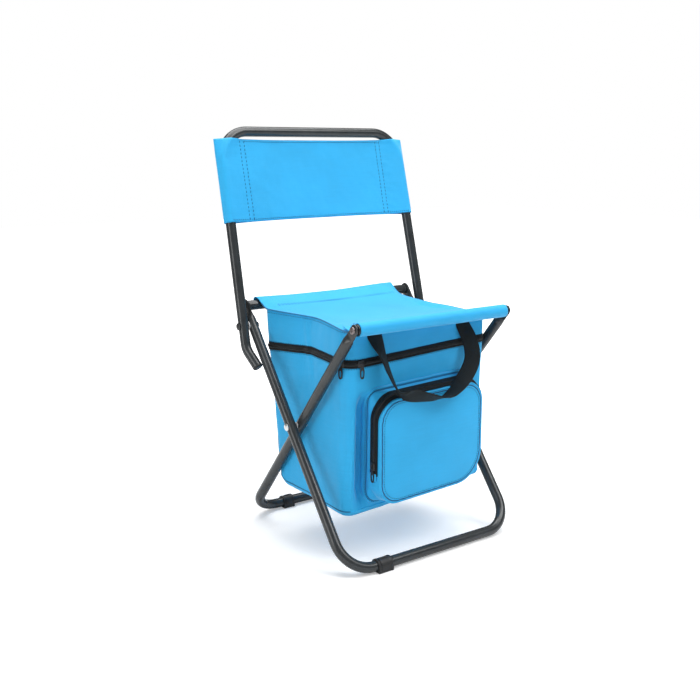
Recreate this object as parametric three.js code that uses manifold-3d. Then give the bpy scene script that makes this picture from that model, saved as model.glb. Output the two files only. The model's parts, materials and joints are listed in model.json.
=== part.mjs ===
// Folding cooler stool: two crossed tube frames, a sling seat, a fold-down back rest and a zipped cool bag.
// Millimetres, +Z up, front towards -Y. The stool stands on Z = 0, centred on its own box.

import * as THREE from 'three';
import { mergeVertices } from 'three/addons/utils/BufferGeometryUtils.js';
import Module from 'manifold-3d';

const wasm = await Module();
wasm.setup();

// Fits
const GAP = 0.3; // left between pieces that touch
const STOP_GAP = 0.4; // between the back tube's tail and the leg that stops it
const SEAM_GAP = 0.2; // between the bag's top edge and the seat above it
const LINER_CLEAR = 0.9; // between the liner's walls and the bag's cloth

// Tubes
const TUBE_D = 15;
const TUBE_WALL = 1.2;
const LEG_BEND_R = 45;
const BACK_BEND_R = 45;
const TAIL_BEND_R = 30;

// Leg frames, each a U with its bar on the floor
const INNER_LEG_X = 135;
const RAIL_Z = 339;
const REAR_RAIL_Y = 119;
const FRONT_RAIL_Y = -134;
const FLOOR_BAR_Y = 140.7; // each floor bar's distance from the middle

// Flattened leg tops that hold the seat rails
const TAB_W = 20;
const TAB_T = 5;
const TAB_RUN = 12; // flat stretch below the screw
const TAB_TAPER = 12; // stretch where the round tube turns flat

// Rivets, washers, screws and plugs
const RIVET_D = 6;
const RIVET_HEAD_D = 11;
const RIVET_HEAD_H = 2.2;
const RIVET_TAIL_H = 0.9;
const WASHER_D = 17;
const WASHER_T = 1;
const SCREW_D = 4;
const SCREW_L = 16;
const SCREW_HEAD_D = 9;
const SCREW_HEAD_H = 2.6;
const RAIL_PLUG_L = 18;
const TAIL_PLUG_L = 10;
const TAIL_PLUG_CAP_H = 1.8;

// Back rest
const BACK_LEAN = 13.8; // degrees to the rear of upright
const BACK_LENGTH = 287.6; // pivot to the top bar's axis
const BACK_PIVOT_DROP = 33; // pivot below the rear rail, along the leg
const TAIL_STRAIGHT = 34; // pivot to the tail's bend
const TAIL_DROP = 62.7; // pivot to the tail's end, along the leg
const TAIL_IN = 6; // how far the tail turns inward
const BACK_PANEL_H = 125;
const BACK_PANEL_TOP_GAP = 4; // below the top bar
const BACK_PANEL_T = 1.5;
const SLEEVE_W = 50; // outer edge to stitch line
const SLEEVE_EDGE_R = 1.25; // rounding of the sleeve's outer edge
const SLEEVE_EDGE_BORE = 0.75; // room inside that edge

// Foot clips on the left ends of the floor bars
const CLIP_L = 25;
const CLIP_WALL = 2.4;
const CLIP_WEB = 0.8; // under the bar
const FRONT_CLIP_X = -91.5;
const REAR_CLIP_X = -72;

// Seat sling
const SEAT_T = 2;
const SEAT_DIP = 17;
const SEAT_WAIST = 22; // how far each side edge is drawn in
const SEAT_END_CLEAR = 2; // between the sling's edge and the front leg tops
const SEAT_SLEEVE_W = 50; // rail to stitch line

// Cool bag
const BAG_SIDE_CLEAR = 6; // between the bag's corners and the inner legs
const BAG_WAIST = 14; // how far the sides are drawn in at the zip
const BAG_FRONT_Y = -100;
const BAG_REAR_Y = 100;
const BAG_DEPTH = 257; // front seat edge to the bag's floor
const BAG_FLOOR_REAR_IN = 28; // how far the floor's rear edge lies ahead of the zip's
const BAG_FLOOR_FRONT_IN = 5;
const BAG_FLOOR_SIDE_IN = 3;
const BAG_CORNER_R = 15;
const BAG_FLOOR_R = 8;
const BAG_SKEW = 0.04; // the bag hangs lower at the left
const BAG_WALL = 2.5;
const BOARD_T = 3;
const LINER_T = 4;
const LINER_DROP = 10; // liner's rim below the zip

// Main zip
const ZIP_DROP = 43; // zip's axis below the front seat edge
const ZIP_W = 11;
const ZIP_T = 2;

// Front pocket
const POCKET_W = 184;
const POCKET_H = 146;
const POCKET_X = 8;
const POCKET_FLOOR_RISE = 12; // above the bag's floor
const POCKET_DEPTH = 25;
const POCKET_R = 30;
const POCKET_EDGE_R = 4;
const POCKET_WALL = 2.2;
const POCKET_ZIP_W = 12;
const POCKET_ZIP_T = 1;
const POCKET_ZIP_START = 20; // above the pocket's floor corner

// Zip sliders and pulls
const SLIDER_L = 11;
const SLIDER_W = 8;
const SLIDER_T = 1.6;
const BRIDGE_R = 2.9;
const BRIDGE_WIRE = 1;
const BRIDGE_W = 1.1;
const PULL_L = 19;
const PULL_W = 6.5;
const PULL_T = 0.9;
const PULL_BAR = 0.9; // bar above the pull's eye
const PULL_BAR_SAG = 0.29; // bar below the bridge's middle, as a share of the bridge's bore
const PULL_EYE_W = 2.8;
const PULL_EYE_L = 3;
const SIDE_SLIDER_Y = -76;
const FRONT_SLIDER_X = -100;
const POCKET_SLIDER_RISE = 55; // above the pocket's floor

// Carry strap
const STRAP_W = 25;
const STRAP_T = 1.8;
const STRAP_END_X = 79; // each end's distance from the middle
const STRAP_END_DROP = 9; // below the front seat edge
const STRAP_END_RUN = 30; // straight stretch below each end
const STRAP_HANG = 84; // end to the loop's lowest run
const STRAP_FLOOR_X = 48; // half the loop's lowest run, corner to corner
const STRAP_BEND_R = 32;
const STRAP_TILT = 20; // degrees forward of hanging straight

// Facets
const TUBE_SIDES = 12;
const BEND_STEPS = 5;
const ROUND_SIDES = 14;
const HULL_SIDES = 20;
const BAG_SIDE_STEPS = 6;
const BAG_CORNER_STEPS = 3;
const POCKET_CORNER_STEPS = 8;
const SLING_STEPS = 10;
const PANEL_BEND_LEVELS = 5;
const TAB_END_SHARES = [0, 0.25, 0.5, 0.75, 0.95]; // of the quarter turn that rounds a leg top
const MERGE_TOLERANCE = 1e-4;
const FAR = 1000; // beyond every piece, for cutting tools

// Sizes worked out from the driving ones
const TUBE_R = TUBE_D / 2;
const BORE_R = TUBE_R - TUBE_WALL;
const FRAME_STEP = TUBE_D + WASHER_T + 2 * GAP;
const OUTER_LEG_X = INNER_LEG_X + FRAME_STEP;
const BACK_X = OUTER_LEG_X + FRAME_STEP;
const FLOOR_BAR_Z = CLIP_WEB + GAP + TUBE_R;

// The two leg lines cross at the leg pivot
const LEG_SHARE = (REAR_RAIL_Y - FRONT_RAIL_Y) / (REAR_RAIL_Y - FRONT_RAIL_Y + 2 * FLOOR_BAR_Y);
const CROSS_Y = REAR_RAIL_Y - (REAR_RAIL_Y + FLOOR_BAR_Y) * LEG_SHARE;
const CROSS_Z = RAIL_Z - (RAIL_Z - FLOOR_BAR_Z) * LEG_SHARE;
const OUTER_LEAN = Math.atan2(REAR_RAIL_Y - CROSS_Y, RAIL_Z - CROSS_Z);
const INNER_LEAN = Math.atan2(FRONT_RAIL_Y - CROSS_Y, RAIL_Z - CROSS_Z);
const OUTER_UP = Math.hypot(REAR_RAIL_Y - CROSS_Y, RAIL_Z - CROSS_Z);
const INNER_UP = Math.hypot(FRONT_RAIL_Y - CROSS_Y, RAIL_Z - CROSS_Z);
const OUTER_DOWN = Math.hypot(FLOOR_BAR_Y + CROSS_Y, CROSS_Z - FLOOR_BAR_Z);
const INNER_DOWN = Math.hypot(FLOOR_BAR_Y - CROSS_Y, CROSS_Z - FLOOR_BAR_Z);
const BACK_PIVOT_S = OUTER_UP - BACK_PIVOT_DROP;
const BACK_PIVOT_Y = CROSS_Y + BACK_PIVOT_S * Math.sin(OUTER_LEAN);
const BACK_PIVOT_Z = CROSS_Z + BACK_PIVOT_S * Math.cos(OUTER_LEAN);

const FINISHES = {
  tube: { color: 0x34383a, roughness: 0.42, metalness: 0.55 },
  bright: { color: 0xd8d9d6, roughness: 0.25, metalness: 0.9 },
  nylon: { color: 0xf0f0ec, roughness: 0.5, metalness: 0 },
  moulded: { color: 0x1b1c1d, roughness: 0.55, metalness: 0 },
  cloth: { color: 0x2f9fe0, roughness: 0.85, metalness: 0 },
  webbing: { color: 0x17181a, roughness: 0.9, metalness: 0 },
  foil: { color: 0xc9ced3, roughness: 0.3, metalness: 0.6 },
  board: { color: 0x8f8a80, roughness: 0.9, metalness: 0 },
};

const vector = (x, y, z) => new THREE.Vector3(x, y, z);
const ALONG_X = new THREE.Matrix4().makeBasis(vector(0, 1, 0), vector(0, 0, 1), vector(1, 0, 0));
const TOWARDS_FRONT = new THREE.Matrix4().makeBasis(vector(1, 0, 0), vector(0, 0, 1), vector(0, -1, 0));
const SKEW = new THREE.Matrix4().set(1, 0, 0, 0, 0, 1, 0, 0, BAG_SKEW, 0, 1, 0, 0, 0, 0, 1);
const SIDES = { left: -1, right: 1 };

// A path through corner points with rounded corners, stepped only where it bends.
class BentPath extends THREE.Curve {
  constructor(corners, radii) {
    super();
    const ways = corners.slice(1).map((corner, k) => corner.clone().sub(corners[k]).normalize());
    this.points = [corners[0]];
    this.tangents = [ways[0]];
    ways.slice(1).forEach((way, k) => this.bend(corners[k + 1], ways[k], way, radii[k]));
    this.points.push(corners.at(-1));
    this.tangents.push(ways.at(-1));
  }

  bend(corner, before, after, radius) {
    const turn = before.angleTo(after);
    const axis = before.clone().cross(after).normalize();
    const start = corner.clone().addScaledVector(before, -radius * Math.tan(turn / 2));
    const centre = start.clone().addScaledVector(axis.clone().cross(before), radius);
    for (let k = 0; k <= BEND_STEPS; k += 1) {
      const angle = (turn * k) / BEND_STEPS;
      this.points.push(start.clone().sub(centre).applyAxisAngle(axis, angle).add(centre));
      this.tangents.push(before.clone().applyAxisAngle(axis, angle));
    }
  }

  get steps() {
    return this.points.length - 1;
  }

  getPointAt(u, target = vector(0, 0, 0)) {
    return target.copy(this.points[Math.round(u * this.steps)]);
  }

  getTangentAt(u, target = vector(0, 0, 0)) {
    return target.copy(this.tangents[Math.round(u * this.steps)]);
  }
}

// A geometry as a solid that can be joined and cut.
function solidOf(geometry) {
  const bare = geometry.clone();
  bare.deleteAttribute('normal');
  bare.deleteAttribute('uv');
  const merged = mergeVertices(bare, MERGE_TOLERANCE);
  return new wasm.Manifold(new wasm.Mesh({
    numProp: 3,
    vertProperties: new Float32Array(merged.attributes.position.array),
    triVerts: new Uint32Array(merged.index.array),
  }));
}

function geometryOf(solid) {
  const mesh = solid.getMesh();
  const geometry = new THREE.BufferGeometry();
  geometry.setAttribute('position', new THREE.BufferAttribute(mesh.vertProperties, 3));
  geometry.setIndex(new THREE.BufferAttribute(mesh.triVerts, 1));
  geometry.computeVertexNormals();
  return geometry;
}

function join(...geometries) {
  return geometryOf(geometries.map(solidOf).reduce((whole, next) => whole.add(next)));
}

function cut(geometry, ...tools) {
  return geometryOf(tools.map(solidOf).reduce((rest, tool) => rest.subtract(tool), solidOf(geometry)));
}

function common(geometry, tool) {
  return geometryOf(solidOf(geometry).intersect(solidOf(tool)));
}

// Turns a closed geometry's faces outward if its volume comes out negative.
function outward(geometry) {
  const position = geometry.attributes.position;
  const index = geometry.index;
  const [a, b, c] = [vector(0, 0, 0), vector(0, 0, 0), vector(0, 0, 0)];
  let volume = 0;
  for (let k = 0; k < index.count; k += 3) {
    a.fromBufferAttribute(position, index.getX(k));
    b.fromBufferAttribute(position, index.getX(k + 1));
    c.fromBufferAttribute(position, index.getX(k + 2));
    volume += a.dot(b.cross(c));
  }
  if (volume < 0) {
    index.array.reverse();
  }
  geometry.computeVertexNormals();
  return geometry;
}

// A closed skin over rings of equal point counts, each end ring closed by a fan from its middle.
function skin(rings) {
  const count = rings[0].length;
  const middle = (ring) => ring.reduce((sum, point) => sum.add(point), vector(0, 0, 0)).divideScalar(count);
  const points = [...rings.flat(), middle(rings[0]), middle(rings.at(-1))];
  const last = (rings.length - 1) * count;
  const index = [];
  for (let k = 0; k < count; k += 1) {
    const next = (k + 1) % count;
    for (let row = 0; row < last; row += count) {
      index.push(row + k, row + next, row + count + next, row + k, row + count + next, row + count + k);
    }
    index.push(points.length - 2, next, k, points.length - 1, last + k, last + next);
  }
  const geometry = new THREE.BufferGeometry().setFromPoints(points);
  geometry.setIndex(index);
  return outward(geometry);
}

// A solid of revolution about +X from [along, radius] pairs that close on the axis or on themselves.
function turned(profile) {
  const points = profile.map(([along, radius]) => new THREE.Vector2(radius, along));
  const lathe = new THREE.LatheGeometry(points, ROUND_SIDES).rotateZ(-Math.PI / 2);
  lathe.deleteAttribute('normal');
  lathe.deleteAttribute('uv');
  return outward(mergeVertices(lathe, MERGE_TOLERANCE));
}

function ringProfile(start, end, inner, outer) {
  return [[start, inner], [start, outer], [end, outer], [end, inner], [start, inner]];
}

function ringShape(outer, inner) {
  const shape = new THREE.Shape().absarc(0, 0, outer, 0, 2 * Math.PI);
  shape.holes.push(new THREE.Path().absarc(0, 0, inner, 0, 2 * Math.PI));
  return shape;
}

function tubeAlong(path) {
  const options = { steps: path.steps, extrudePath: path, curveSegments: TUBE_SIDES / 2 };
  return new THREE.ExtrudeGeometry(ringShape(TUBE_R, BORE_R), options);
}

// A shape drawn in Y and Z, run along X for a half length each way from a centre.
function barAlongX(shape, half, centre = 0) {
  const options = { depth: 2 * half, bevelEnabled: false, curveSegments: TUBE_SIDES / 2 };
  return new THREE.ExtrudeGeometry(shape, options).translate(0, 0, centre - half).applyMatrix4(ALONG_X);
}

// A drill along X through everything.
function drill(radius, y, z) {
  return new THREE.CylinderGeometry(radius, radius, FAR, ROUND_SIDES).rotateZ(Math.PI / 2).translate(0, y, z);
}

// The outline round a set of circles, as points in a fixed number of directions.
function hullRing(circles) {
  return Array.from({ length: HULL_SIDES }, (_, k) => {
    const angle = ((k + 0.5) * 2 * Math.PI) / HULL_SIDES;
    const way = new THREE.Vector2(Math.cos(angle), Math.sin(angle));
    const reach = ({ at, r }) => at.dot(way) + r;
    const far = circles.reduce((best, circle) => (reach(circle) > reach(best) ? circle : best));
    return far.at.clone().addScaledVector(way, far.r);
  });
}

const circle = (x, y, r) => ({ at: new THREE.Vector2(x, y), r });

// A box between its lowest and highest corners.
function block(low, high) {
  const size = high.clone().sub(low);
  const middle = high.clone().add(low).multiplyScalar(0.5);
  return new THREE.BoxGeometry(size.x, size.y, size.z).translate(middle.x, middle.y, middle.z);
}

function piece(parent, name, geometry, finish, place = vector(0, 0, 0), spin = 0) {
  const mesh = new THREE.Mesh(geometry, new THREE.MeshStandardMaterial(FINISHES[finish]));
  mesh.name = name;
  mesh.position.copy(place);
  mesh.rotation.z = spin;
  parent.add(mesh);
}

// Adds a piece made for the right side at both sides, turned half round for the left.
function pair(parent, name, geometry, finish, place) {
  Object.entries(SIDES).forEach(([side, sign]) => {
    const spot = vector(sign * place.x, place.y, place.z);
    piece(parent, `${name}_${side}`, geometry.clone(), finish, spot, sign > 0 ? 0 : Math.PI);
  });
}

function leaning(lean, y, z) {
  const group = new THREE.Group();
  group.position.set(0, y, z);
  group.rotation.x = -lean;
  return group;
}

// Leg frames

// The flattened top of a leg at x, its screw hole's axis at height z in the frame's plane.
function legTab(x, z) {
  const half = TAB_W / 2;
  const flat = TAB_T / 2;
  const blend = (share) => [TUBE_R + (half - TUBE_R) * share, TUBE_R + (flat - TUBE_R) * share];
  const round = (angle) => [half * Math.cos(angle), flat];
  const levels = [
    [-TAB_RUN - TAB_TAPER, blend(0)],
    [-TAB_RUN - TAB_TAPER / 2, blend(0.5)],
    [-TAB_RUN, blend(1)],
    ...TAB_END_SHARES.map((share) => {
      const angle = (share * Math.PI) / 2;
      return [half * Math.sin(angle), round(angle)];
    }),
  ];
  return skin(levels.map(([rise, [deep, thick]]) => Array.from({ length: TUBE_SIDES }, (_, k) => {
    const angle = (k * 2 * Math.PI) / TUBE_SIDES;
    return vector(x + thick * Math.cos(angle), deep * Math.sin(angle), z + rise);
  })));
}

function legFrame(x, up, down, rivetHeights) {
  const foot = up - TAB_RUN - TAB_TAPER;
  const corners = [vector(-x, 0, foot), vector(-x, 0, -down), vector(x, 0, -down), vector(x, 0, foot)];
  const tube = tubeAlong(new BentPath(corners, [LEG_BEND_R, LEG_BEND_R]));
  const drills = rivetHeights.map((height) => drill(RIVET_D / 2 + GAP, 0, height));
  const whole = join(tube, legTab(-x, up), legTab(x, up));
  return cut(whole, ...drills, drill(SCREW_D / 2 + GAP, 0, up));
}

const railHalf = (legX) => legX - TAB_T / 2 - GAP;

function addRail(frame, name, legX, height) {
  const half = railHalf(legX);
  const plug = turned(ringProfile(-RAIL_PLUG_L, 0, SCREW_D / 2 + GAP, BORE_R - GAP));
  const reach = TAB_T + 2 * GAP;
  const screw = turned([
    [-SCREW_L, 0],
    [-SCREW_L, SCREW_D / 2],
    [reach, SCREW_D / 2],
    [reach, SCREW_HEAD_D / 2],
    [reach + SCREW_HEAD_H / 2, SCREW_HEAD_D / 2],
    [reach + SCREW_HEAD_H, SCREW_HEAD_D / 4],
    [reach + SCREW_HEAD_H, 0],
  ]);
  const rail = barAlongX(ringShape(TUBE_R, BORE_R), half);
  piece(frame, `${name}_seat_rail`, rail, 'tube', vector(0, 0, height));
  pair(frame, `${name}_rail_plug`, plug, 'moulded', vector(half, 0, height));
  pair(frame, `${name}_rail_screw`, screw, 'bright', vector(half, 0, height));
}

// A rivet through two tubes and a washer, from the inner tube's inner side at zero along its axis.
function rivet() {
  const length = 2 * TUBE_D + WASHER_T + 4 * GAP;
  return turned([
    [-RIVET_TAIL_H, 0],
    [-RIVET_TAIL_H, RIVET_HEAD_D / 2],
    [0, RIVET_HEAD_D / 2],
    [0, RIVET_D / 2],
    [length, RIVET_D / 2],
    [length, RIVET_HEAD_D / 2],
    [length + RIVET_HEAD_H / 2, RIVET_HEAD_D / 2],
    [length + RIVET_HEAD_H, RIVET_HEAD_D / 4],
    [length + RIVET_HEAD_H, 0],
  ]);
}

const washer = () => turned(ringProfile(0, WASHER_T, RIVET_D / 2 + GAP, WASHER_D / 2));

function addFootClip(parent, name, x, y) {
  const outer = TUBE_R + GAP + CLIP_WALL;
  const shape = new THREE.Shape();
  shape.moveTo(-outer, -FLOOR_BAR_Z);
  shape.lineTo(outer, -FLOOR_BAR_Z);
  shape.lineTo(outer, 0);
  shape.absarc(0, 0, outer, 0, Math.PI);
  shape.lineTo(-outer, -FLOOR_BAR_Z);
  shape.holes.push(new THREE.Path().absarc(0, 0, TUBE_R + GAP, 0, 2 * Math.PI));
  piece(parent, name, barAlongX(shape, CLIP_L / 2), 'moulded', vector(x, y, FLOOR_BAR_Z));
}

// Back rest

// The tail's end seen from the back pivot, in the back rest's leaning frame.
function tailEnd() {
  const across = BACK_X - TAIL_IN - OUTER_LEG_X;
  const off = Math.sqrt((TUBE_D + STOP_GAP) ** 2 - across ** 2);
  const end = vector(BACK_X - TAIL_IN, off, -TAIL_DROP);
  return end.applyAxisAngle(vector(1, 0, 0), THREE.MathUtils.degToRad(BACK_LEAN) - OUTER_LEAN);
}

function backTube() {
  const end = tailEnd();
  const side = (sign) => [
    vector(sign * end.x, end.y, end.z),
    vector(sign * BACK_X, 0, -TAIL_STRAIGHT),
    vector(sign * BACK_X, 0, BACK_LENGTH),
  ];
  const corners = [...side(-1), ...side(1).reverse()];
  const path = new BentPath(corners, [TAIL_BEND_R, BACK_BEND_R, BACK_BEND_R, TAIL_BEND_R]);
  return cut(tubeAlong(path), drill(RIVET_D / 2 + GAP, 0, 0));
}

function addTailPlugs(back) {
  const end = tailEnd();
  const plug = turned([
    [-TAIL_PLUG_L, 0],
    [-TAIL_PLUG_L, BORE_R - GAP],
    [GAP, BORE_R - GAP],
    [GAP, TUBE_R - GAP],
    [GAP + TAIL_PLUG_CAP_H / 2, TUBE_R - GAP],
    [GAP + TAIL_PLUG_CAP_H, BORE_R - GAP],
    [GAP + TAIL_PLUG_CAP_H, 0],
  ]);
  Object.entries(SIDES).forEach(([side, sign]) => {
    const tip = vector(sign * end.x, end.y, end.z);
    const way = tip.clone().sub(vector(sign * BACK_X, 0, -TAIL_STRAIGHT)).normalize();
    const turn = new THREE.Quaternion().setFromUnitVectors(vector(1, 0, 0), way);
    const geometry = plug.clone().applyQuaternion(turn);
    piece(back, `back_tube_plug_${side}`, geometry, 'moulded', tip);
  });
}

// The back panel: a flat band whose ends open into sleeves, wide enough at the top for the tube's bend.
function backPanel() {
  const top = BACK_LENGTH - TUBE_R - BACK_PANEL_TOP_GAP;
  const bottom = top - BACK_PANEL_H;
  const bendStart = BACK_LENGTH - BACK_BEND_R;
  const bore = TUBE_R + 2 * GAP;
  const edge = BACK_X + bore + BACK_PANEL_T;
  const stitch = edge - SLEEVE_W;
  const levels = [bottom];
  for (let k = 0; k <= PANEL_BEND_LEVELS; k += 1) {
    levels.push(bendStart + ((top - bendStart) * k) / PANEL_BEND_LEVELS);
  }
  const sleeve = (wall, overrun) => (level) => {
    const angle = Math.asin(Math.max(0, level - bendStart) / BACK_BEND_R);
    const centre = BACK_X - BACK_BEND_R * (1 - Math.cos(angle));
    const spread = bore / Math.cos(angle) - bore;
    const ring = hullRing([
      circle(centre - spread, 0, bore + wall),
      circle(centre + spread, 0, bore + wall),
      circle(edge - 2 * BACK_PANEL_T, 0, wall > 0 ? SLEEVE_EDGE_R : SLEEVE_EDGE_BORE),
      circle(stitch + (wall > 0 ? 0 : 2 * BACK_PANEL_T), 0, wall > 0 ? BACK_PANEL_T : GAP),
    ]);
    const past = level === top ? overrun : 0;
    const short = level === bottom ? overrun : 0;
    return ring.map((point) => vector(point.x, point.y, level + past - short));
  };
  const cloth = skin(levels.map(sleeve(BACK_PANEL_T, 0)));
  const hollow = skin(levels.map(sleeve(0, BACK_PANEL_T)));
  const mirror = (geometry) => geometry.clone().rotateZ(Math.PI);
  const web = block(vector(-stitch, -BACK_PANEL_T, bottom), vector(stitch, BACK_PANEL_T, top));
  return cut(join(cloth, mirror(cloth), web), hollow, mirror(hollow));
}

// Seat sling

const SEAT_MID_Y = (REAR_RAIL_Y + FRONT_RAIL_Y) / 2;
const SEAT_REACH = (REAR_RAIL_Y - FRONT_RAIL_Y) / 2;
const SLEEVE_BORE = TUBE_R + GAP;
const SLEEVE_R = SLEEVE_BORE + SEAT_T;
const SEAT_HALF = railHalf(INNER_LEG_X) - SEAT_END_CLEAR;

// Height of the sling's middle surface.
function slingZ(y) {
  const share = (y - SEAT_MID_Y) / SEAT_REACH;
  return RAIL_Z + SLEEVE_BORE + SEAT_T / 2 - SEAT_DIP * (1 - share ** 2);
}

// Height of the cloth's underside: the sleeves near the rails, the sling between them.
function seatUnderside(y) {
  const fromRail = Math.min(y - FRONT_RAIL_Y, REAR_RAIL_Y - y);
  const share = Math.min(1, Math.max(0, fromRail / SEAT_SLEEVE_W));
  const stitchZ = slingZ(FRONT_RAIL_Y + SEAT_SLEEVE_W) - SEAT_T;
  const sleeveZ = RAIL_Z - SLEEVE_R + (stitchZ - RAIL_Z + SLEEVE_R) * share;
  return share < 1 ? sleeveZ : slingZ(y) - SEAT_T;
}

function seatSleeve(railY, inward, wall) {
  const stitchY = railY + inward * SEAT_SLEEVE_W;
  const tuck = wall > 0 ? 0 : -inward * 2 * SEAT_T;
  const end = circle(stitchY + tuck, slingZ(stitchY + tuck), wall > 0 ? SEAT_T / 2 : GAP);
  const round = circle(railY, RAIL_Z, SLEEVE_BORE / Math.cos(Math.PI / HULL_SIDES) + wall);
  return new THREE.Shape(hullRing([round, end]));
}

function seatPanel() {
  const from = FRONT_RAIL_Y + SEAT_SLEEVE_W;
  const to = REAR_RAIL_Y - SEAT_SLEEVE_W;
  const stations = Array.from({ length: SLING_STEPS + 1 }, (_, k) => from + ((to - from) * k) / SLING_STEPS);
  const face = (off) => stations.map((y) => new THREE.Vector2(y, slingZ(y) + off));
  const sling = new THREE.Shape([...face(-SEAT_T / 2), ...face(SEAT_T / 2).reverse()]);
  const wide = SEAT_HALF + SEAT_T;
  const sleeves = [seatSleeve(FRONT_RAIL_Y, 1, SEAT_T), seatSleeve(REAR_RAIL_Y, -1, SEAT_T)];
  const hollows = [seatSleeve(FRONT_RAIL_Y, 1, 0), seatSleeve(REAR_RAIL_Y, -1, 0)];
  const cloth = join(barAlongX(sling, wide), ...sleeves.map((shape) => barAlongX(shape, wide)));
  const hollow = cut(cloth, ...hollows.map((shape) => barAlongX(shape, FAR)));
  const front = FRONT_RAIL_Y - 2 * SLEEVE_R;
  const rear = REAR_RAIL_Y + 2 * SLEEVE_R;
  const plan = new THREE.Shape();
  plan.moveTo(-SEAT_HALF, front);
  plan.lineTo(SEAT_HALF, front);
  plan.lineTo(SEAT_HALF, FRONT_RAIL_Y);
  plan.quadraticCurveTo(SEAT_HALF - 2 * SEAT_WAIST, SEAT_MID_Y, SEAT_HALF, REAR_RAIL_Y);
  plan.lineTo(SEAT_HALF, rear);
  plan.lineTo(-SEAT_HALF, rear);
  plan.lineTo(-SEAT_HALF, REAR_RAIL_Y);
  plan.quadraticCurveTo(2 * SEAT_WAIST - SEAT_HALF, SEAT_MID_Y, -SEAT_HALF, FRONT_RAIL_Y);
  const options = { depth: FAR, bevelEnabled: false, curveSegments: SLING_STEPS };
  return common(hollow, new THREE.ExtrudeGeometry(plan, options));
}

// Cool bag

const BAG_TOP_Z = seatUnderside(BAG_FRONT_Y);
const BAG_FLOOR_Z = BAG_TOP_Z - BAG_DEPTH;
const ZIP_Z = BAG_TOP_Z - ZIP_DROP;
const BAG_HALF = INNER_LEG_X - TUBE_R - BAG_SIDE_CLEAR;
const ZIP_REAR_Y = BAG_REAR_Y - BAG_CORNER_R;

// The bag's outline at a height: sides drawn in between its corners, floor smaller than the zip's outline.
// The first points run from the left side's rear round the front to the right side's rear, where the zip lies.
function bagRing(height, inset, top = false) {
  const drop = Math.max(0, ZIP_Z - height) / (ZIP_Z - BAG_FLOOR_Z);
  const half = BAG_HALF - BAG_FLOOR_SIDE_IN * drop - inset;
  const front = BAG_FRONT_Y + BAG_FLOOR_FRONT_IN * drop + inset;
  const rear = BAG_REAR_Y - BAG_FLOOR_REAR_IN * drop - inset;
  const waist = BAG_WAIST * (1 - drop / 2);
  const radius = Math.max(BAG_CORNER_R - inset, GAP);
  const side = (sign) => Array.from({ length: BAG_SIDE_STEPS + 1 }, (_, k) => {
    const share = (2 * k) / BAG_SIDE_STEPS - 1;
    const y = (front + rear) / 2 + share * ((rear - front) / 2 - radius);
    return [sign * (half - waist * (1 - share ** 2)), y];
  });
  const corner = (x, y, start, first) => Array.from({ length: BAG_CORNER_STEPS }, (_, k) => {
    const angle = start + ((k + first) * Math.PI) / 2 / BAG_CORNER_STEPS;
    return [x + radius * Math.cos(angle), y + radius * Math.sin(angle)];
  });
  const outline = [
    ...side(-1).reverse(),
    ...corner(radius - half, front + radius, Math.PI, 1),
    ...corner(half - radius, front + radius, 1.5 * Math.PI, 0),
    ...side(1),
    ...corner(half - radius, rear - radius, 0, 1),
    ...corner(radius - half, rear - radius, Math.PI / 2, 0),
  ];
  const rise = (x, y) => (top ? seatUnderside(y) - SEAM_GAP : height + BAG_SKEW * x);
  return outline.map(([x, y]) => vector(x, y, rise(x, y)));
}

const ZIP_POINTS = 2 * (BAG_SIDE_STEPS + 1) + 2 * BAG_CORNER_STEPS;
const ZIP_LOW = ZIP_Z - ZIP_W / 2;
const ZIP_HIGH = ZIP_Z + ZIP_W / 2;

// Heights at which the cloth and the liner share a ring, so that their walls run parallel.
const BOARD_Z = BAG_FLOOR_Z + BAG_WALL + GAP;
const LINER_Z = BOARD_Z + BOARD_T + GAP;
const LINER_RIM = ZIP_LOW - LINER_DROP;
const LINER_FOOT = LINER_Z + BAG_FLOOR_R;
const LEVELS = [LINER_FOOT, (LINER_FOOT + LINER_RIM) / 2, LINER_RIM];

// The bag's outside from its rounded floor edge to the seat, grown outward by a margin.
function bagOutside(margin) {
  const floor = BAG_FLOOR_Z - margin;
  return [
    bagRing(floor, BAG_FLOOR_R - margin),
    bagRing(floor + BAG_FLOOR_R / 4, BAG_FLOOR_R / 4 - margin),
    bagRing(floor + BAG_FLOOR_R, -margin),
    ...[...LEVELS, ZIP_Z].map((height) => bagRing(height, -margin)),
    bagRing(ZIP_Z, -margin, true),
  ];
}

// An open cup between an outside and the inside walls that go down to its own floor.
function cup(outside, walls, floor, inset) {
  const foot = bagRing(floor + BAG_FLOOR_R, inset);
  return skin([...outside, ...walls, foot, bagRing(floor, inset + BAG_FLOOR_R / 2)]);
}

// Everything above a height of the hanging bag, ahead of a given Y.
function lidSpace(height, rear) {
  return block(vector(-FAR, -FAR, height), vector(FAR, rear, height + FAR)).applyMatrix4(SKEW);
}

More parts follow.
